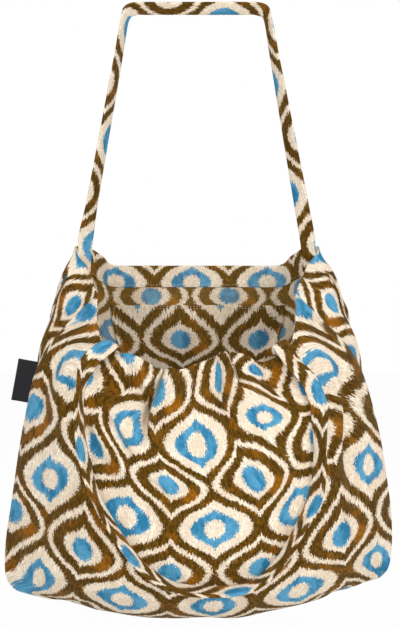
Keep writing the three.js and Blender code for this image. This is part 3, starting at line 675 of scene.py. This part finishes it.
# A closed strap through its rings. Its length runs down the lattice, stretched, and drifts a little sideways.
# The cloth rolls over by another column, and is drawn in by another amount, towards the strap's two ends.
def strapPiece(name, rings, section, place, materials):
    rows, columns = rings.shape[:2]
    length = lengthAlong(rings.mean(1))
    loop = np.linalg.norm(np.roll(section, -1, 0) - section, axis=1)
    around = np.cumsum(loop) - loop
    around = (around - around[columns // 4] + loop.sum() / 2) % loop.sum() - loop.sum() / 2
    faces = tubeQuads(rows, columns)[:, [0, 3, 2, 1]]
    row, column = np.divmod(np.arange(len(faces)), columns)
    nearEnd = 1 - smooth(np.minimum(length, length[-1] - length), *strap["endReach"])
    lane = lerp(place["i"], place["endI"], nearEnd) + place["drift"] * length / length[-1]
    drawn = lerp(place["gather"], place["endGather"], nearEnd) / lattice["across"]
    uv = np.zeros((len(faces), 4, 2))
    for corner, (ahead, aside) in enumerate(((0, 0), (1, 0), (1, 1), (0, 1))):
        r = row + ahead
        uv[:, corner, 0] = lane[r] + (around[column] + loop[column] * aside) * drawn[r]
        uv[:, corner, 1] = (length[r] - place["start"]) / place["period"]
    # Caps: a ladder of quads across each end
    low, high = np.arange(columns // 2 - 1), columns - 1 - np.arange(columns // 2 - 1)
    cap = np.stack([low, low + 1, high - 1, high], 1)
    lastRing = (rows - 1) * columns
    caps = np.concatenate([cap, (cap + lastRing)[:, ::-1]])
    faces = np.concatenate([faces, caps])
    uv = np.concatenate([uv, np.zeros((len(caps), 4, 2))])
    return putMesh(name, rings.reshape(-1, 3), faces, uv, materials, np.zeros(len(faces)))


# Where a strap leaves the mouth edge, with the way up and the panel's outward direction there.
def strapExit(panel, endU):
    at = layerPoint(panel, endU, 0.0, tailDepth)
    up = unit(at - layerPoint(panel, endU, cloth["facingDeep"] / body["height"], tailDepth))
    return at, up, panelNormal(panel, np.array(endU), np.array(0.0))


# The back strap: up from each end, turning edge on, and round two corners to a level top run that leans back.
def backStrapRings(section):
    lean = strap["topLean"]
    hangX, hangY = section[np.argmax(section @ np.array([math.cos(lean), math.sin(lean)]))]
    topY = hangY * math.cos(lean) - hangX * math.sin(lean)
    topZ = hangX * math.cos(lean) + hangY * math.sin(lean)

    def leg(sign):
        at, up, out = strapExit(back, sign * strapEndU)
        foot = at + up * strap["rise"]
        head = np.array([sign * strap["topHalf"], topY, topZ - strap["cornerRadius"]])
        footTwist = strap["twistLeft"] if sign < 0 else strap["twistRight"]

        def twisted(turn):
            return np.array([-sign * math.sin(turn), -math.cos(turn), 0])

        points, faces = [at + up * strap["thick"], foot], [-out, lerp(-out, twisted(footTwist * 0.6), 0.6)]
        for share in (0.16, 0.38, 0.6, 0.82, 1.0):
            points.append(lerp(foot, head, share))
            faces.append(twisted(lerp(footTwist, strap["twist"], share ** 0.8)))
        bend = strap["cornerRadius"] * 0.3
        points.append(np.array([sign * (strap["topHalf"] - bend), topY, topZ - bend]))
        faces.append(np.array([-sign * math.sin(lean) * 0.7, -math.cos(lean), -math.sin(lean) * 0.7]))
        for inset in (1.2, 2):
            points.append(np.array([sign * (strap["topHalf"] - strap["cornerRadius"] * inset), topY, topZ]))
            faces.append(np.array([0.0, -math.cos(lean), -math.sin(lean)]))
        return points, faces

    (leftPoints, leftFaces), (rightPoints, rightFaces) = leg(-1), leg(1)
    points, faces = leftPoints + rightPoints[::-1], leftFaces + rightFaces[::-1]
    return strapRings(back, points, faces, strap["backRings"], section)


# The front strap: up out of the edge, over it, and down the front in a long U, on its edge for most of it.
# Rows: share across and down, fitted to the strap in the photograph, and how far it is turned on its edge
frontRoute = np.array([
    (-0.585, 0.057, 0.6), (-0.549, 0.131, 1.2), (-0.524, 0.225, 1.2), (-0.523, 0.327, 1.15),
    (-0.493, 0.419, 1.2), (-0.411, 0.481, 1.25), (-0.282, 0.555, 1.25), (-0.137, 0.604, 1.25),
    (0.062, 0.621, 1.25), (0.236, 0.613, 1.25), (0.357, 0.565, 1.2), (0.466, 0.493, 1.15),
    (0.534, 0.447, 0.9), (0.554, 0.376, 1), (0.539, 0.272, 1), (0.551, 0.187, 0.4), (0.56, 0.11, 0.1),
    (0.545, 0.057, 0),
])


# Where the strap is turned its width points at the viewer. It is lifted by the section's reach to the cloth.
def frontStrapRings(section):
    def over(sign):
        at, up, out = strapExit(front, sign * strapEndU)
        top = at + up * strap["frontRise"]
        middle = top + out * (strap["standOff"] + strap["thick"] + facingDepth) + up * strap["thick"]
        return [at + up * strap["thick"], top, middle], [-out, up - out, up + out * 0.6]

    def ground(u, v):
        return panelBase(front, u, v)

    u, v, turn = frontRoute.T
    turn = turn[:, None]
    before, after = neighbours(len(u))
    along = unit(ground(u[after], v[after]) - ground(u[before], v[before]))
    out = outward(ground, front["facing"], u, v)
    sideways = unit(np.cross(np.array([0.0, -1, 0]), along))
    downFaces = squareTo(unit(out * np.cos(turn) + sideways * np.sin(turn)), along)
    across = np.cross(along, downFaces)
    tilt = np.stack([(across * out).sum(1), (downFaces * out).sum(1)], 1)
    reach = abs(tilt @ section.T).max(1)
    lift = strap["standOff"] + reach + strap["loose"] * (1 - smooth(v, *strap["looseDown"]))
    down = ground(u, v) + out * lift[:, None]
    (leftPoints, leftFaces), (rightPoints, rightFaces) = over(-1), over(1)
    points = leftPoints + list(down) + rightPoints[::-1]
    faces = leftFaces + list(downFaces) + rightFaces[::-1]
    return strapRings(front, points, faces, strap["frontRings"], section)


# The tab: a strip folded in half, its profile carried along the seam, with a slight curl towards the fold.
def tabPiece(name, materials):
    def seamAt(down):
        v = down / body["height"]
        return (panelPoint(front, -1.0, v) + panelPoint(back, -1.0, v)) / 2

    half, margin = tab["thick"] / 2, hemSteps[-1]
    straight = edgedSteps(tab["long"] - half, tab["rows"], margin, 0)
    bend = np.linspace(-np.pi / 2, np.pi / 2, tab["foldRows"])[1:-1]
    level = np.zeros(len(straight))
    reach = np.concatenate([straight, tab["long"] - half + np.cos(bend) * half, straight[::-1]])
    normalReach = np.concatenate([level, np.cos(bend), level])
    normalSide = np.concatenate([level - 1, np.sin(bend), level + 1])
    top = seamAt(tab["down"])
    along = unit(seamAt(tab["down"] + tab["wide"]) - top)
    along = unit(along + np.array([tab["lean"], 0, 0]))
    out = squareTo(np.array([-1.0, 0, 0]), along)
    flat = np.cross(along, out)
    edge = edgedSteps(tab["wide"], tab["columns"], margin, margin)

    def grid(depth):
        r, s = reach - normalReach * depth, normalSide * (half - depth)
        curled = s - tab["curl"] * (r / tab["long"]) ** 2
        profile = top - out * tab["sewnIn"] + r[:, None] * out + curled[:, None] * flat
        wave = tab["wave"] * np.sin(edge / tab["wide"] * tab["waveTurn"]) * (r / tab["long"])[:, None]
        return profile[:, None] + edge[:, None] * along + wave[..., None] * flat

    strip = np.linspace(0, 2 * tab["long"], len(reach))[:, None]
    uv = np.stack(np.broadcast_arrays(strip, edge), -1)
    return slab(name, grid(0.0), grid(tab["ply"]), uv, 1, materials)


# Stitches, mm: their size and pitch, where their lines run, and the points that a line is measured by
stitch = {
    "long": 2.6, "thick": 0.55, "pitch": 3.6, "sink": 0.7, "around": 6, "inset": 3, "hemDown": (1.6, 3.8),
    "facingEndU": 0.94, "facingSamples": 300, "sideSamples": 120, "acrossSamples": 140,
}
# A stitch's outline: shares of half its length, and of half its thickness there
beadAlong = np.array([-1, -0.8, -0.3, 0.3, 0.8, 1.0])
beadThick = np.array([0.15, 0.75, 1, 1, 0.75, 0.15])


# One small bead of thread for each stitch, laid along a line of points on the cloth.
def stitchPiece(name, places, alongs, normals, materials):
    ring = np.linspace(0, 2 * np.pi, stitch["around"], endpoint=False)
    radius = (stitch["thick"] / 2 * beadThick)[:, None]
    dip = (-stitch["sink"] * stitch["thick"] * beadAlong ** 4)[:, None]

    def spread(directions, amounts):
        return directions[:, None, None] * amounts[None, ..., None]

    beads = places[:, None, None] + spread(alongs, (beadAlong * stitch["long"] / 2)[:, None])
    beads = beads + spread(np.cross(alongs, normals), radius * np.cos(ring))
    beads = beads + spread(normals, radius * np.sin(ring) + dip)
    count, rows, columns = beads.shape[:3]
    cap = np.array([[0, 5, 4, 3], [3, 2, 1, 0]])
    one = np.concatenate([tubeQuads(rows, columns), cap, (cap + (rows - 1) * columns)[:, ::-1]])
    faces = (one[None] + (np.arange(count) * rows * columns)[:, None, None]).reshape(-1, 4)
    uv = np.zeros((len(faces), 4, 2))
    return putMesh(name, beads.reshape(-1, 3), faces, uv, materials, np.zeros(len(faces)))


# Places along a line of (u, v) on a layer, a pitch apart, with the way along and the way in.
def stitchLine(panel, u, v, depth):
    places = layerPoint(panel, u, v, depth)
    length = lengthAlong(places)
    at = np.arange(stitch["pitch"] / 2, length[-1], stitch["pitch"])
    su, sv = np.interp(at, length, u), np.interp(at, length, v)
    ahead, behind = (np.stack([np.interp(at + d, length, p) for p in places.T], 1) for d in (1, -1))
    along = unit(ahead - behind)
    return layerPoint(panel, su, sv, depth), along, squareTo(-panelNormal(panel, su, sv), along)


# Colours as they are seen, turned to the linear values that shaders take
def paint(red, green, blue):
    share = np.array([red, green, blue]) / 255
    linear = np.where(share <= 0.04045, share / 12.92, ((share + 0.055) / 1.055) ** 2.4)
    return (*linear.tolist(), 1.0)


dye = {
    "cream": paint(246, 234, 214), "creamDeep": paint(228, 209, 184), "olive": paint(104, 74, 18),
    "oliveDark": paint(72, 48, 6), "rust": paint(158, 98, 16), "blue": paint(86, 156, 192),
    "blueDeep": paint(42, 118, 156), "label": paint(20, 20, 26), "thread": paint(206, 190, 160),
    "tan": paint(206, 170, 100),
}
# Medallion outlines from the outside in: the medallion, the colour inside the outline, and its half width
outlines = [("dot", "cream", 0.475), ("dot", "olive", 0.4), ("dot", "cream", 0.25), ("ring", "cream", 0.405),
            ("ring", "blue", 0.266)]
hearts = [("dot", "blue", 0.13), ("ring", "cream", 0.112)]
bandMask = {"cream": (0, 0, 0, 1), "blue": (1, 0, 0, 1), "olive": (0, 1, 0, 1)}
weave = {"power": 1.7, "tall": 0.62, "cusp": 0.42, "cuspShare": 0.3, "heartTall": 0.9, "heartPower": 2,
         "yarn": 0.07, "fuzz": 0.1, "wobble": 0.05, "softEdge": 0.012}
# Noise in the dye: size across and down in mm, detail, and a shift that keeps each apart from the others
noises = {
    "wobbleAcross": (38, 38, 1.5, 1.7), "wobbleDown": (42, 42, 1.5, 4.3), "fuzzAcross": (1.6, 1.6, 1.5, 9.1),
    "yarnDown": (1.5, 13, 1.5, 6.6), "frayed": (1.2, 2.4, 1.5, 2.9), "stray": (15, 11, 2.0, 12.5),
    "fleck": (1.6, 4.5, 1.0, 3.3), "broad": (11, 17, 2.0, 5.5), "grain": (0.9, 1.5, 2.0, 7.7),
}
# How a noise becomes a share: the values it starts and stops at, and the shares there
ranges = {"stray": (0.53, 0.66, 0.0, 0.5), "fleck": (0.35, 0.65), "broad": (0.35, 0.65),
          "grain": (0.25, 0.75, 0.72, 1.12), "rustFleck": (0.0, 1.0, 0.55, 1.0)}
# Rust: a patch at the lower right of each dot medallion's band, faded from its inner to its outer radius
rustPatch = {"right": 0.25, "below": 0.1, "inner": 0.07, "outer": 0.15, "strength": 0.85}


# Small helpers that set inputs, or add one node and hand back its output.
def setInputs(node, values):
    for name, value in values.items():
        node.inputs[name].default_value = value


def feed(tree, socket, value):
    if isinstance(value, (int, float, tuple)):
        socket.default_value = value
    else:
        tree.links.new(value, socket)


def calc(tree, kind, *values):
    node = tree.nodes.new("ShaderNodeMath")
    node.operation = kind
    for socket, value in zip(node.inputs, values):
        feed(tree, socket, value)
    return node.outputs[0]


def stepUp(tree, value, low, high, toLow=0.0, toHigh=1.0):
    node = tree.nodes.new("ShaderNodeMapRange")
    node.interpolation_type = "SMOOTHSTEP"
    tree.links.new(value, node.inputs["Value"])
    setInputs(node, {"From Min": low, "From Max": high, "To Min": toLow, "To Max": toHigh})
    return node.outputs[0]


def blendColour(tree, share, first, second, kind="MIX"):
    node = tree.nodes.new("ShaderNodeMix")
    node.data_type, node.blend_type = "RGBA", kind
    for socket, value in ((node.inputs[0], share), (node.inputs[6], first), (node.inputs[7], second)):
        feed(tree, socket, value)
    return node.outputs[2]


# Noise over the cloth, stretched by a size in millimetres across and down.
def clothNoise(tree, x, y, across, down, detail, shift):
    join = tree.nodes.new("ShaderNodeCombineXYZ")
    place = (calc(tree, "DIVIDE", x, across), calc(tree, "DIVIDE", y, down), shift)
    for socket, value in zip(join.inputs, place):
        feed(tree, socket, value)
    node = tree.nodes.new("ShaderNodeTexNoise")
    setInputs(node, {"Scale": 1.0, "Detail": detail})
    tree.links.new(join.outputs[0], node.inputs["Vector"])
    return node.outputs[0]


# The dyed pile: a half-drop lattice of ogee medallions, ring and dot by turns, with bled, yarn-stepped edges.
# A medallion nests one outline at several sizes: with p across and q down from its centre, the outline's half
# width is the superellipse (p^n + (q/h)^n)^(1/n) less a cusp at top and bottom, c q e^(-p/(s q)).
def makeIkat():
    tree = bpy.data.node_groups.new("ikatPile", "ShaderNodeTree")
    sockets = (("Fabric", "INPUT", "Vector"), ("Color", "OUTPUT", "Color"), ("Height", "OUTPUT", "Float"))
    for name, way, kind in sockets:
        tree.interface.new_socket(name, in_out=way, socket_type="NodeSocket" + kind)
    plus, minus, times, divide, raised = (
        partial(calc, tree, kind) for kind in ("ADD", "SUBTRACT", "MULTIPLY", "DIVIDE", "POWER"))
    split = tree.nodes.new("ShaderNodeSeparateXYZ")
    tree.links.new(tree.nodes.new("NodeGroupInput").outputs[0], split.inputs[0])
    x, y = times(split.outputs[0], lattice["across"]), times(split.outputs[1], lattice["down"])

    def noise(name):
        return clothNoise(tree, x, y, *noises[name])

    def share(name):
        return stepUp(tree, noise(name), *ranges[name])

    def wander(name, size):
        return times(minus(noise(name), 0.5), size)

    i = plus(split.outputs[0], wander("wobbleAcross", weave["wobble"]))
    i = plus(i, wander("fuzzAcross", weave["fuzz"] / 2))
    j = plus(split.outputs[1], wander("wobbleDown", weave["wobble"]))
    j = plus(j, wander("yarnDown", weave["yarn"]))
    p, q = calc(tree, "PINGPONG", i, 0.5), calc(tree, "PINGPONG", j, 0.5)
    away = {"ring": (p, q), "dot": (minus(0.5, p), minus(0.5, q))}
    frayed = wander("frayed", weave["fuzz"])

    def superellipse(p, q, tall, power):
        return raised(plus(raised(p, power), raised(divide(q, tall), power)), 1 / power)

    # The small number keeps the division from nought at the middle
    def ogee(p, q):
        steep = divide(p, plus(times(q, -weave["cuspShare"]), -0.0001))
        tip = times(times(q, weave["cusp"]), calc(tree, "EXPONENT", steep))
        return minus(superellipse(p, q, weave["tall"], weave["power"]), tip)

    def heart(p, q):
        return superellipse(p, q, weave["heartTall"], weave["heartPower"])

    kind = bandMask["olive"]
    for form, rows in ((ogee, outlines), (heart, hearts)):
        size = {name: plus(form(*place), frayed) for name, place in away.items()}
        for name, colour, limit in rows:
            inside = stepUp(tree, size[name], limit - weave["softEdge"], limit + weave["softEdge"], 1.0, 0.0)
            kind = blendColour(tree, inside, kind, bandMask[colour])
    masks = tree.nodes.new("ShaderNodeSeparateColor")
    tree.links.new(kind, masks.inputs[0])

    offI = minus(calc(tree, "FRACT", i), 0.5 + rustPatch["right"])
    offJ = minus(calc(tree, "FRACT", split.outputs[1]), 0.5 - rustPatch["below"])
    reach = calc(tree, "SQRT", plus(times(offI, offI), times(offJ, offJ)))
    patch = stepUp(tree, reach, rustPatch["inner"], rustPatch["outer"], rustPatch["strength"], 0.0)
    fleck, broad = share("fleck"), share("broad")
    rusty = calc(tree, "MAXIMUM", patch, share("stray"))
    rusty = times(rusty, stepUp(tree, fleck, *ranges["rustFleck"]))
    brown = blendColour(tree, fleck, dye["oliveDark"], dye["olive"])
    brown = blendColour(tree, rusty, brown, dye["rust"])
    blue = blendColour(tree, broad, dye["blueDeep"], dye["blue"])
    cream = blendColour(tree, times(broad, fleck), dye["creamDeep"], dye["cream"])
    colour = blendColour(tree, masks.outputs[0], cream, blue)
    colour = blendColour(tree, masks.outputs[1], colour, brown)
    grain = noise("grain")
    shade = stepUp(tree, grain, *ranges["grain"])
    grey = tree.nodes.new("ShaderNodeCombineColor")
    for socket in grey.inputs[:3]:
        tree.links.new(shade, socket)
    colour = blendColour(tree, 1.0, colour, grey.outputs[0], "MULTIPLY")
    height = plus(times(grain, 0.7), times(fleck, 0.3))
    result = tree.nodes.new("NodeGroupOutput")
    tree.links.new(colour, result.inputs["Color"])
    tree.links.new(height, result.inputs["Height"])
    return tree


ikat = makeIkat()


def newMaterial(name):
    material = bpy.data.materials.new(name)
    material.use_nodes = True
    tree = material.node_tree
    return material, tree, tree.nodes["Principled BSDF"]


def addBump(tree, shader, height, strength, distance):
    bump = tree.nodes.new("ShaderNodeBump")
    setInputs(bump, {"Strength": strength, "Distance": distance})
    tree.links.new(height, bump.inputs["Height"])
    tree.links.new(bump.outputs[0], shader.inputs["Normal"])


def fabricPlace(tree):
    place = tree.nodes.new("ShaderNodeUVMap")
    place.uv_map = "fabric"
    return place.outputs[0]


# Dyed pile cloth. A wash of tan stands for the paler ground weave on the cloth's reverse; on the inner pile
# it is painted shade on the cream and painted light on the olive.
def pileMaterial(name, wash, sheen):
    material, tree, shader = newMaterial(name)
    group = tree.nodes.new("ShaderNodeGroup")
    group.node_tree = ikat
    tree.links.new(fabricPlace(tree), group.inputs["Fabric"])
    colour = group.outputs["Color"]
    if wash > 0:
        colour = blendColour(tree, wash, colour, dye["tan"])
    tree.links.new(colour, shader.inputs["Base Color"])
    setInputs(shader, {
        "Roughness": 0.95, "Specular IOR Level": 0.06, "Sheen Weight": sheen, "Sheen Roughness": 0.5,
        "Sheen Tint": dye["cream"],
    })
    addBump(tree, shader, group.outputs["Height"], strength=0.5, distance=0.0007)
    return material


# Plain woven cloth: two crossed waves make the over and under of the threads.
def wovenMaterial(name, colour, darker, pitch, roughness):
    material, tree, shader = newMaterial(name)
    split = tree.nodes.new("ShaderNodeSeparateXYZ")
    tree.links.new(fabricPlace(tree), split.inputs[0])
    turns = [calc(tree, "MULTIPLY", split.outputs[k], 2 * math.pi / pitch) for k in (0, 1)]
    threads = calc(tree, "MULTIPLY", *(calc(tree, "SINE", turn) for turn in turns))
    share = stepUp(tree, threads, -0.8, 0.8)
    tree.links.new(blendColour(tree, share, darker, colour), shader.inputs["Base Color"])
    setInputs(shader, {"Roughness": roughness, "Specular IOR Level": 0.3})
    addBump(tree, shader, threads, strength=0.4, distance=0.0003)
    return material


outerPile = pileMaterial("outer_pile", 0.0, 0.08)
# The pile of the pocket and facings: painted shade (darker, warmer cream) and painted light (lighter olive)
# for the shaded inside of the bag
innerPilePaintedShade = pileMaterial("inner_pile_painted_shade", 0.05, 0.04)
innerSide = pileMaterial("cloth_reverse", 0.13, 0.04)
strapPile = pileMaterial("strap_pile", 0.0, 0.08)
labelCloth = wovenMaterial("label_weave", dye["label"], paint(10, 10, 14), 0.9, 0.6)
threadCloth = wovenMaterial("seam_thread", dye["thread"], paint(170, 150, 120), 0.4, 0.8)
print("materials made")

section = strapSection(strap["around"])
frontPanel = panelPiece("front_panel_cloth", front, frontFabric, [outerPile, innerSide])
backPanel = panelPiece("back_panel_cloth", back, backFabric, [outerPile, innerSide])
print("panels made")
frontFacingPlace = {"i": 0.3, "j": 0.4, "shrink": 1.0}
backFacingPlace = {"i": 0.072, "j": 0.23, "shrink": 1.155}
pocketPlace = {"i": 0.724, "shrink": 1.052, "rows": ((0, 22, 44, 150), (-0.18, -0.31, -0.5, -1.7))}
frontFacing = facingPiece("front_facing_cloth", front, frontFacingPlace, [innerPilePaintedShade, innerSide])
backFacing = facingPiece("back_facing_cloth", back, backFacingPlace, [innerPilePaintedShade, innerSide])
innerPocket = pocketPiece("inner_pocket_cloth", pocketPlace, [innerPilePaintedShade, innerSide])
print("facings and pocket made")
backStrapPlace = {
    "i": 0.205, "endI": 0.205, "drift": 0.05, "gather": 1.25, "endGather": 1.25, "start": 30, "period": 123.5,
}
frontStrapPlace = {
    "i": 0.6, "endI": 0.564, "drift": 0, "gather": 1.9, "endGather": 1.5, "start": -9.5, "period": 117,
}
backStrap = strapPiece("back_strap_cloth", backStrapRings(section), section, backStrapPlace, [strapPile])
frontStrap = strapPiece("front_strap_cloth", frontStrapRings(section), section, frontStrapPlace, [strapPile])
sideTab = tabPiece("side_tab_cloth", [labelCloth, labelCloth])
print("straps and tab made")

stitches = []


# A row of stitches on a layer, along places in millimetres across and down the panel.
def addStitches(name, panel, across, down, depth):
    across, down = np.broadcast_arrays(across, down)
    line = stitchLine(panel, across / body["halfWidth"], down / body["height"], depth)
    stitches.append(stitchPiece(name, *line, [threadCloth]))


facingInner = facingDepth + cloth["facingThick"]
across = np.linspace(-1, 1, stitch["facingSamples"]) * stitch["facingEndU"] * body["halfWidth"]
for name, panel in (("front_facing_stitches", front), ("back_facing_stitches", back)):
    addStitches(name, panel, across, cloth["facingDeep"] - stitch["inset"], facingInner)
pocketInner = pocketDepth + cloth["facingThick"]
half, top = pocket["half"] - stitch["inset"], pocket["top"] + stitch["inset"]
bottom = pocket["top"] + pocket["deep"] - stitch["inset"]
across = np.linspace(-half, half, stitch["acrossSamples"])
side = np.linspace(top, bottom, stitch["sideSamples"])
path = np.concatenate([0 * side - half, across, 0 * side + half])
pathDown = np.concatenate([side, 0 * across + bottom, side[::-1]])
addStitches("pocket_stitches", back, path, pathDown, pocketInner)
for n, down in enumerate(stitch["hemDown"]):
    addStitches(f"pocket_hem_stitches_{n}", back, across, pocket["top"] + down, pocketInner)
print("stitches made")

for piece, node, slot in (
    (frontPanel, "front_panel", "outer_cloth"), (backPanel, "back_panel", "outer_cloth"),
    (frontFacing, "front_facing", "inner_cloth"), (backFacing, "back_facing", "inner_cloth"),
    (innerPocket, "inner_pocket", "inner_cloth"), (backStrap, "back_strap", "strap_cloth"),
    (frontStrap, "front_strap", "strap_cloth"), (sideTab, "side_tab", "tab_cloth"),
):
    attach(piece, "root")
    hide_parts(node)
for piece in stitches:
    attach(piece, "root")

# Floor and light: a pale floor well below the hanging bag, white surroundings, soft lamps from the front
stage = {"floorZ": -0.72, "floorHalf": 6.0, "worldLight": 0.53, "white": 1.0, "floorWhite": 0.96,
         "aimZ": -0.42}
lamps = [
    ("key", (1.2, -1.3, -0.2), 0.6, 9.0),
    ("fill", (-1.3, -1.3, 0.1), 0.6, 6.5),
    ("front", (0.0, -1.6, -0.1), 0.5, 6.0),
    ("top", (0.15, -0.4, 1.4), 1.4, 12.0),
]


# Shows the second shader to a share of the rays that see it straight, in a mirror or through glass.
def showWhen(tree, share, first, second, target):
    path = tree.nodes.new("ShaderNodeLightPath")
    seen = calc(tree, "MAXIMUM", path.outputs["Is Camera Ray"], path.outputs["Is Glossy Ray"])
    seen = calc(tree, "MAXIMUM", seen, path.outputs["Is Transmission Ray"])
    mix = tree.nodes.new("ShaderNodeMixShader")
    sources = (calc(tree, "MULTIPLY", seen, share), first.outputs[0], second.outputs[0])
    for socket, source in zip(mix.inputs, sources):
        tree.links.new(source, socket)
    tree.links.new(mix.outputs[0], tree.nodes[target].inputs["Surface"])


def makeFloor():
    half = stage["floorHalf"]
    mesh = bpy.data.meshes.new("floor")
    corners = [(x * half, y * half, stage["floorZ"]) for x, y in ((-1, -1), (1, -1), (1, 1), (-1, 1))]
    mesh.from_pydata(corners, [], [(0, 1, 2, 3)])
    floor = addObject("floor", mesh)
    material, tree, shader = newMaterial("pale_floor")
    setInputs(shader, {"Base Color": (0.9, 0.9, 0.9, 1), "Roughness": 0.9})
    glow = tree.nodes.new("ShaderNodeEmission")
    setInputs(glow, {"Strength": stage["white"]})
    showWhen(tree, stage["floorWhite"], shader, glow, "Material Output")
    mesh.materials.append(material)


def makeWorld():
    world = bpy.data.worlds.new("studio")
    world.use_nodes = True
    tree = world.node_tree
    light, white = tree.nodes["Background"], tree.nodes.new("ShaderNodeBackground")
    setInputs(light, {"Color": (1, 1, 1, 1), "Strength": stage["worldLight"]})
    setInputs(white, {"Color": (1, 1, 1, 1), "Strength": stage["white"]})
    showWhen(tree, 1.0, light, white, "World Output")
    bpy.context.scene.world = world


def makeLamps():
    for name, at, size, power in lamps:
        data = bpy.data.lights.new(name, "AREA")
        data.size, data.energy = size, power
        lamp = addObject(name, data)
        lamp.location = at
        x, y, z = np.array(at) - np.array([0, 0, stage["aimZ"]])
        lamp.rotation_euler = (math.atan2(math.hypot(x, y), z), 0, math.atan2(y, x) + math.pi / 2)


makeFloor()
makeWorld()
makeLamps()
bpy.context.scene.view_settings.view_transform = "Standard"
print("stage and light made")
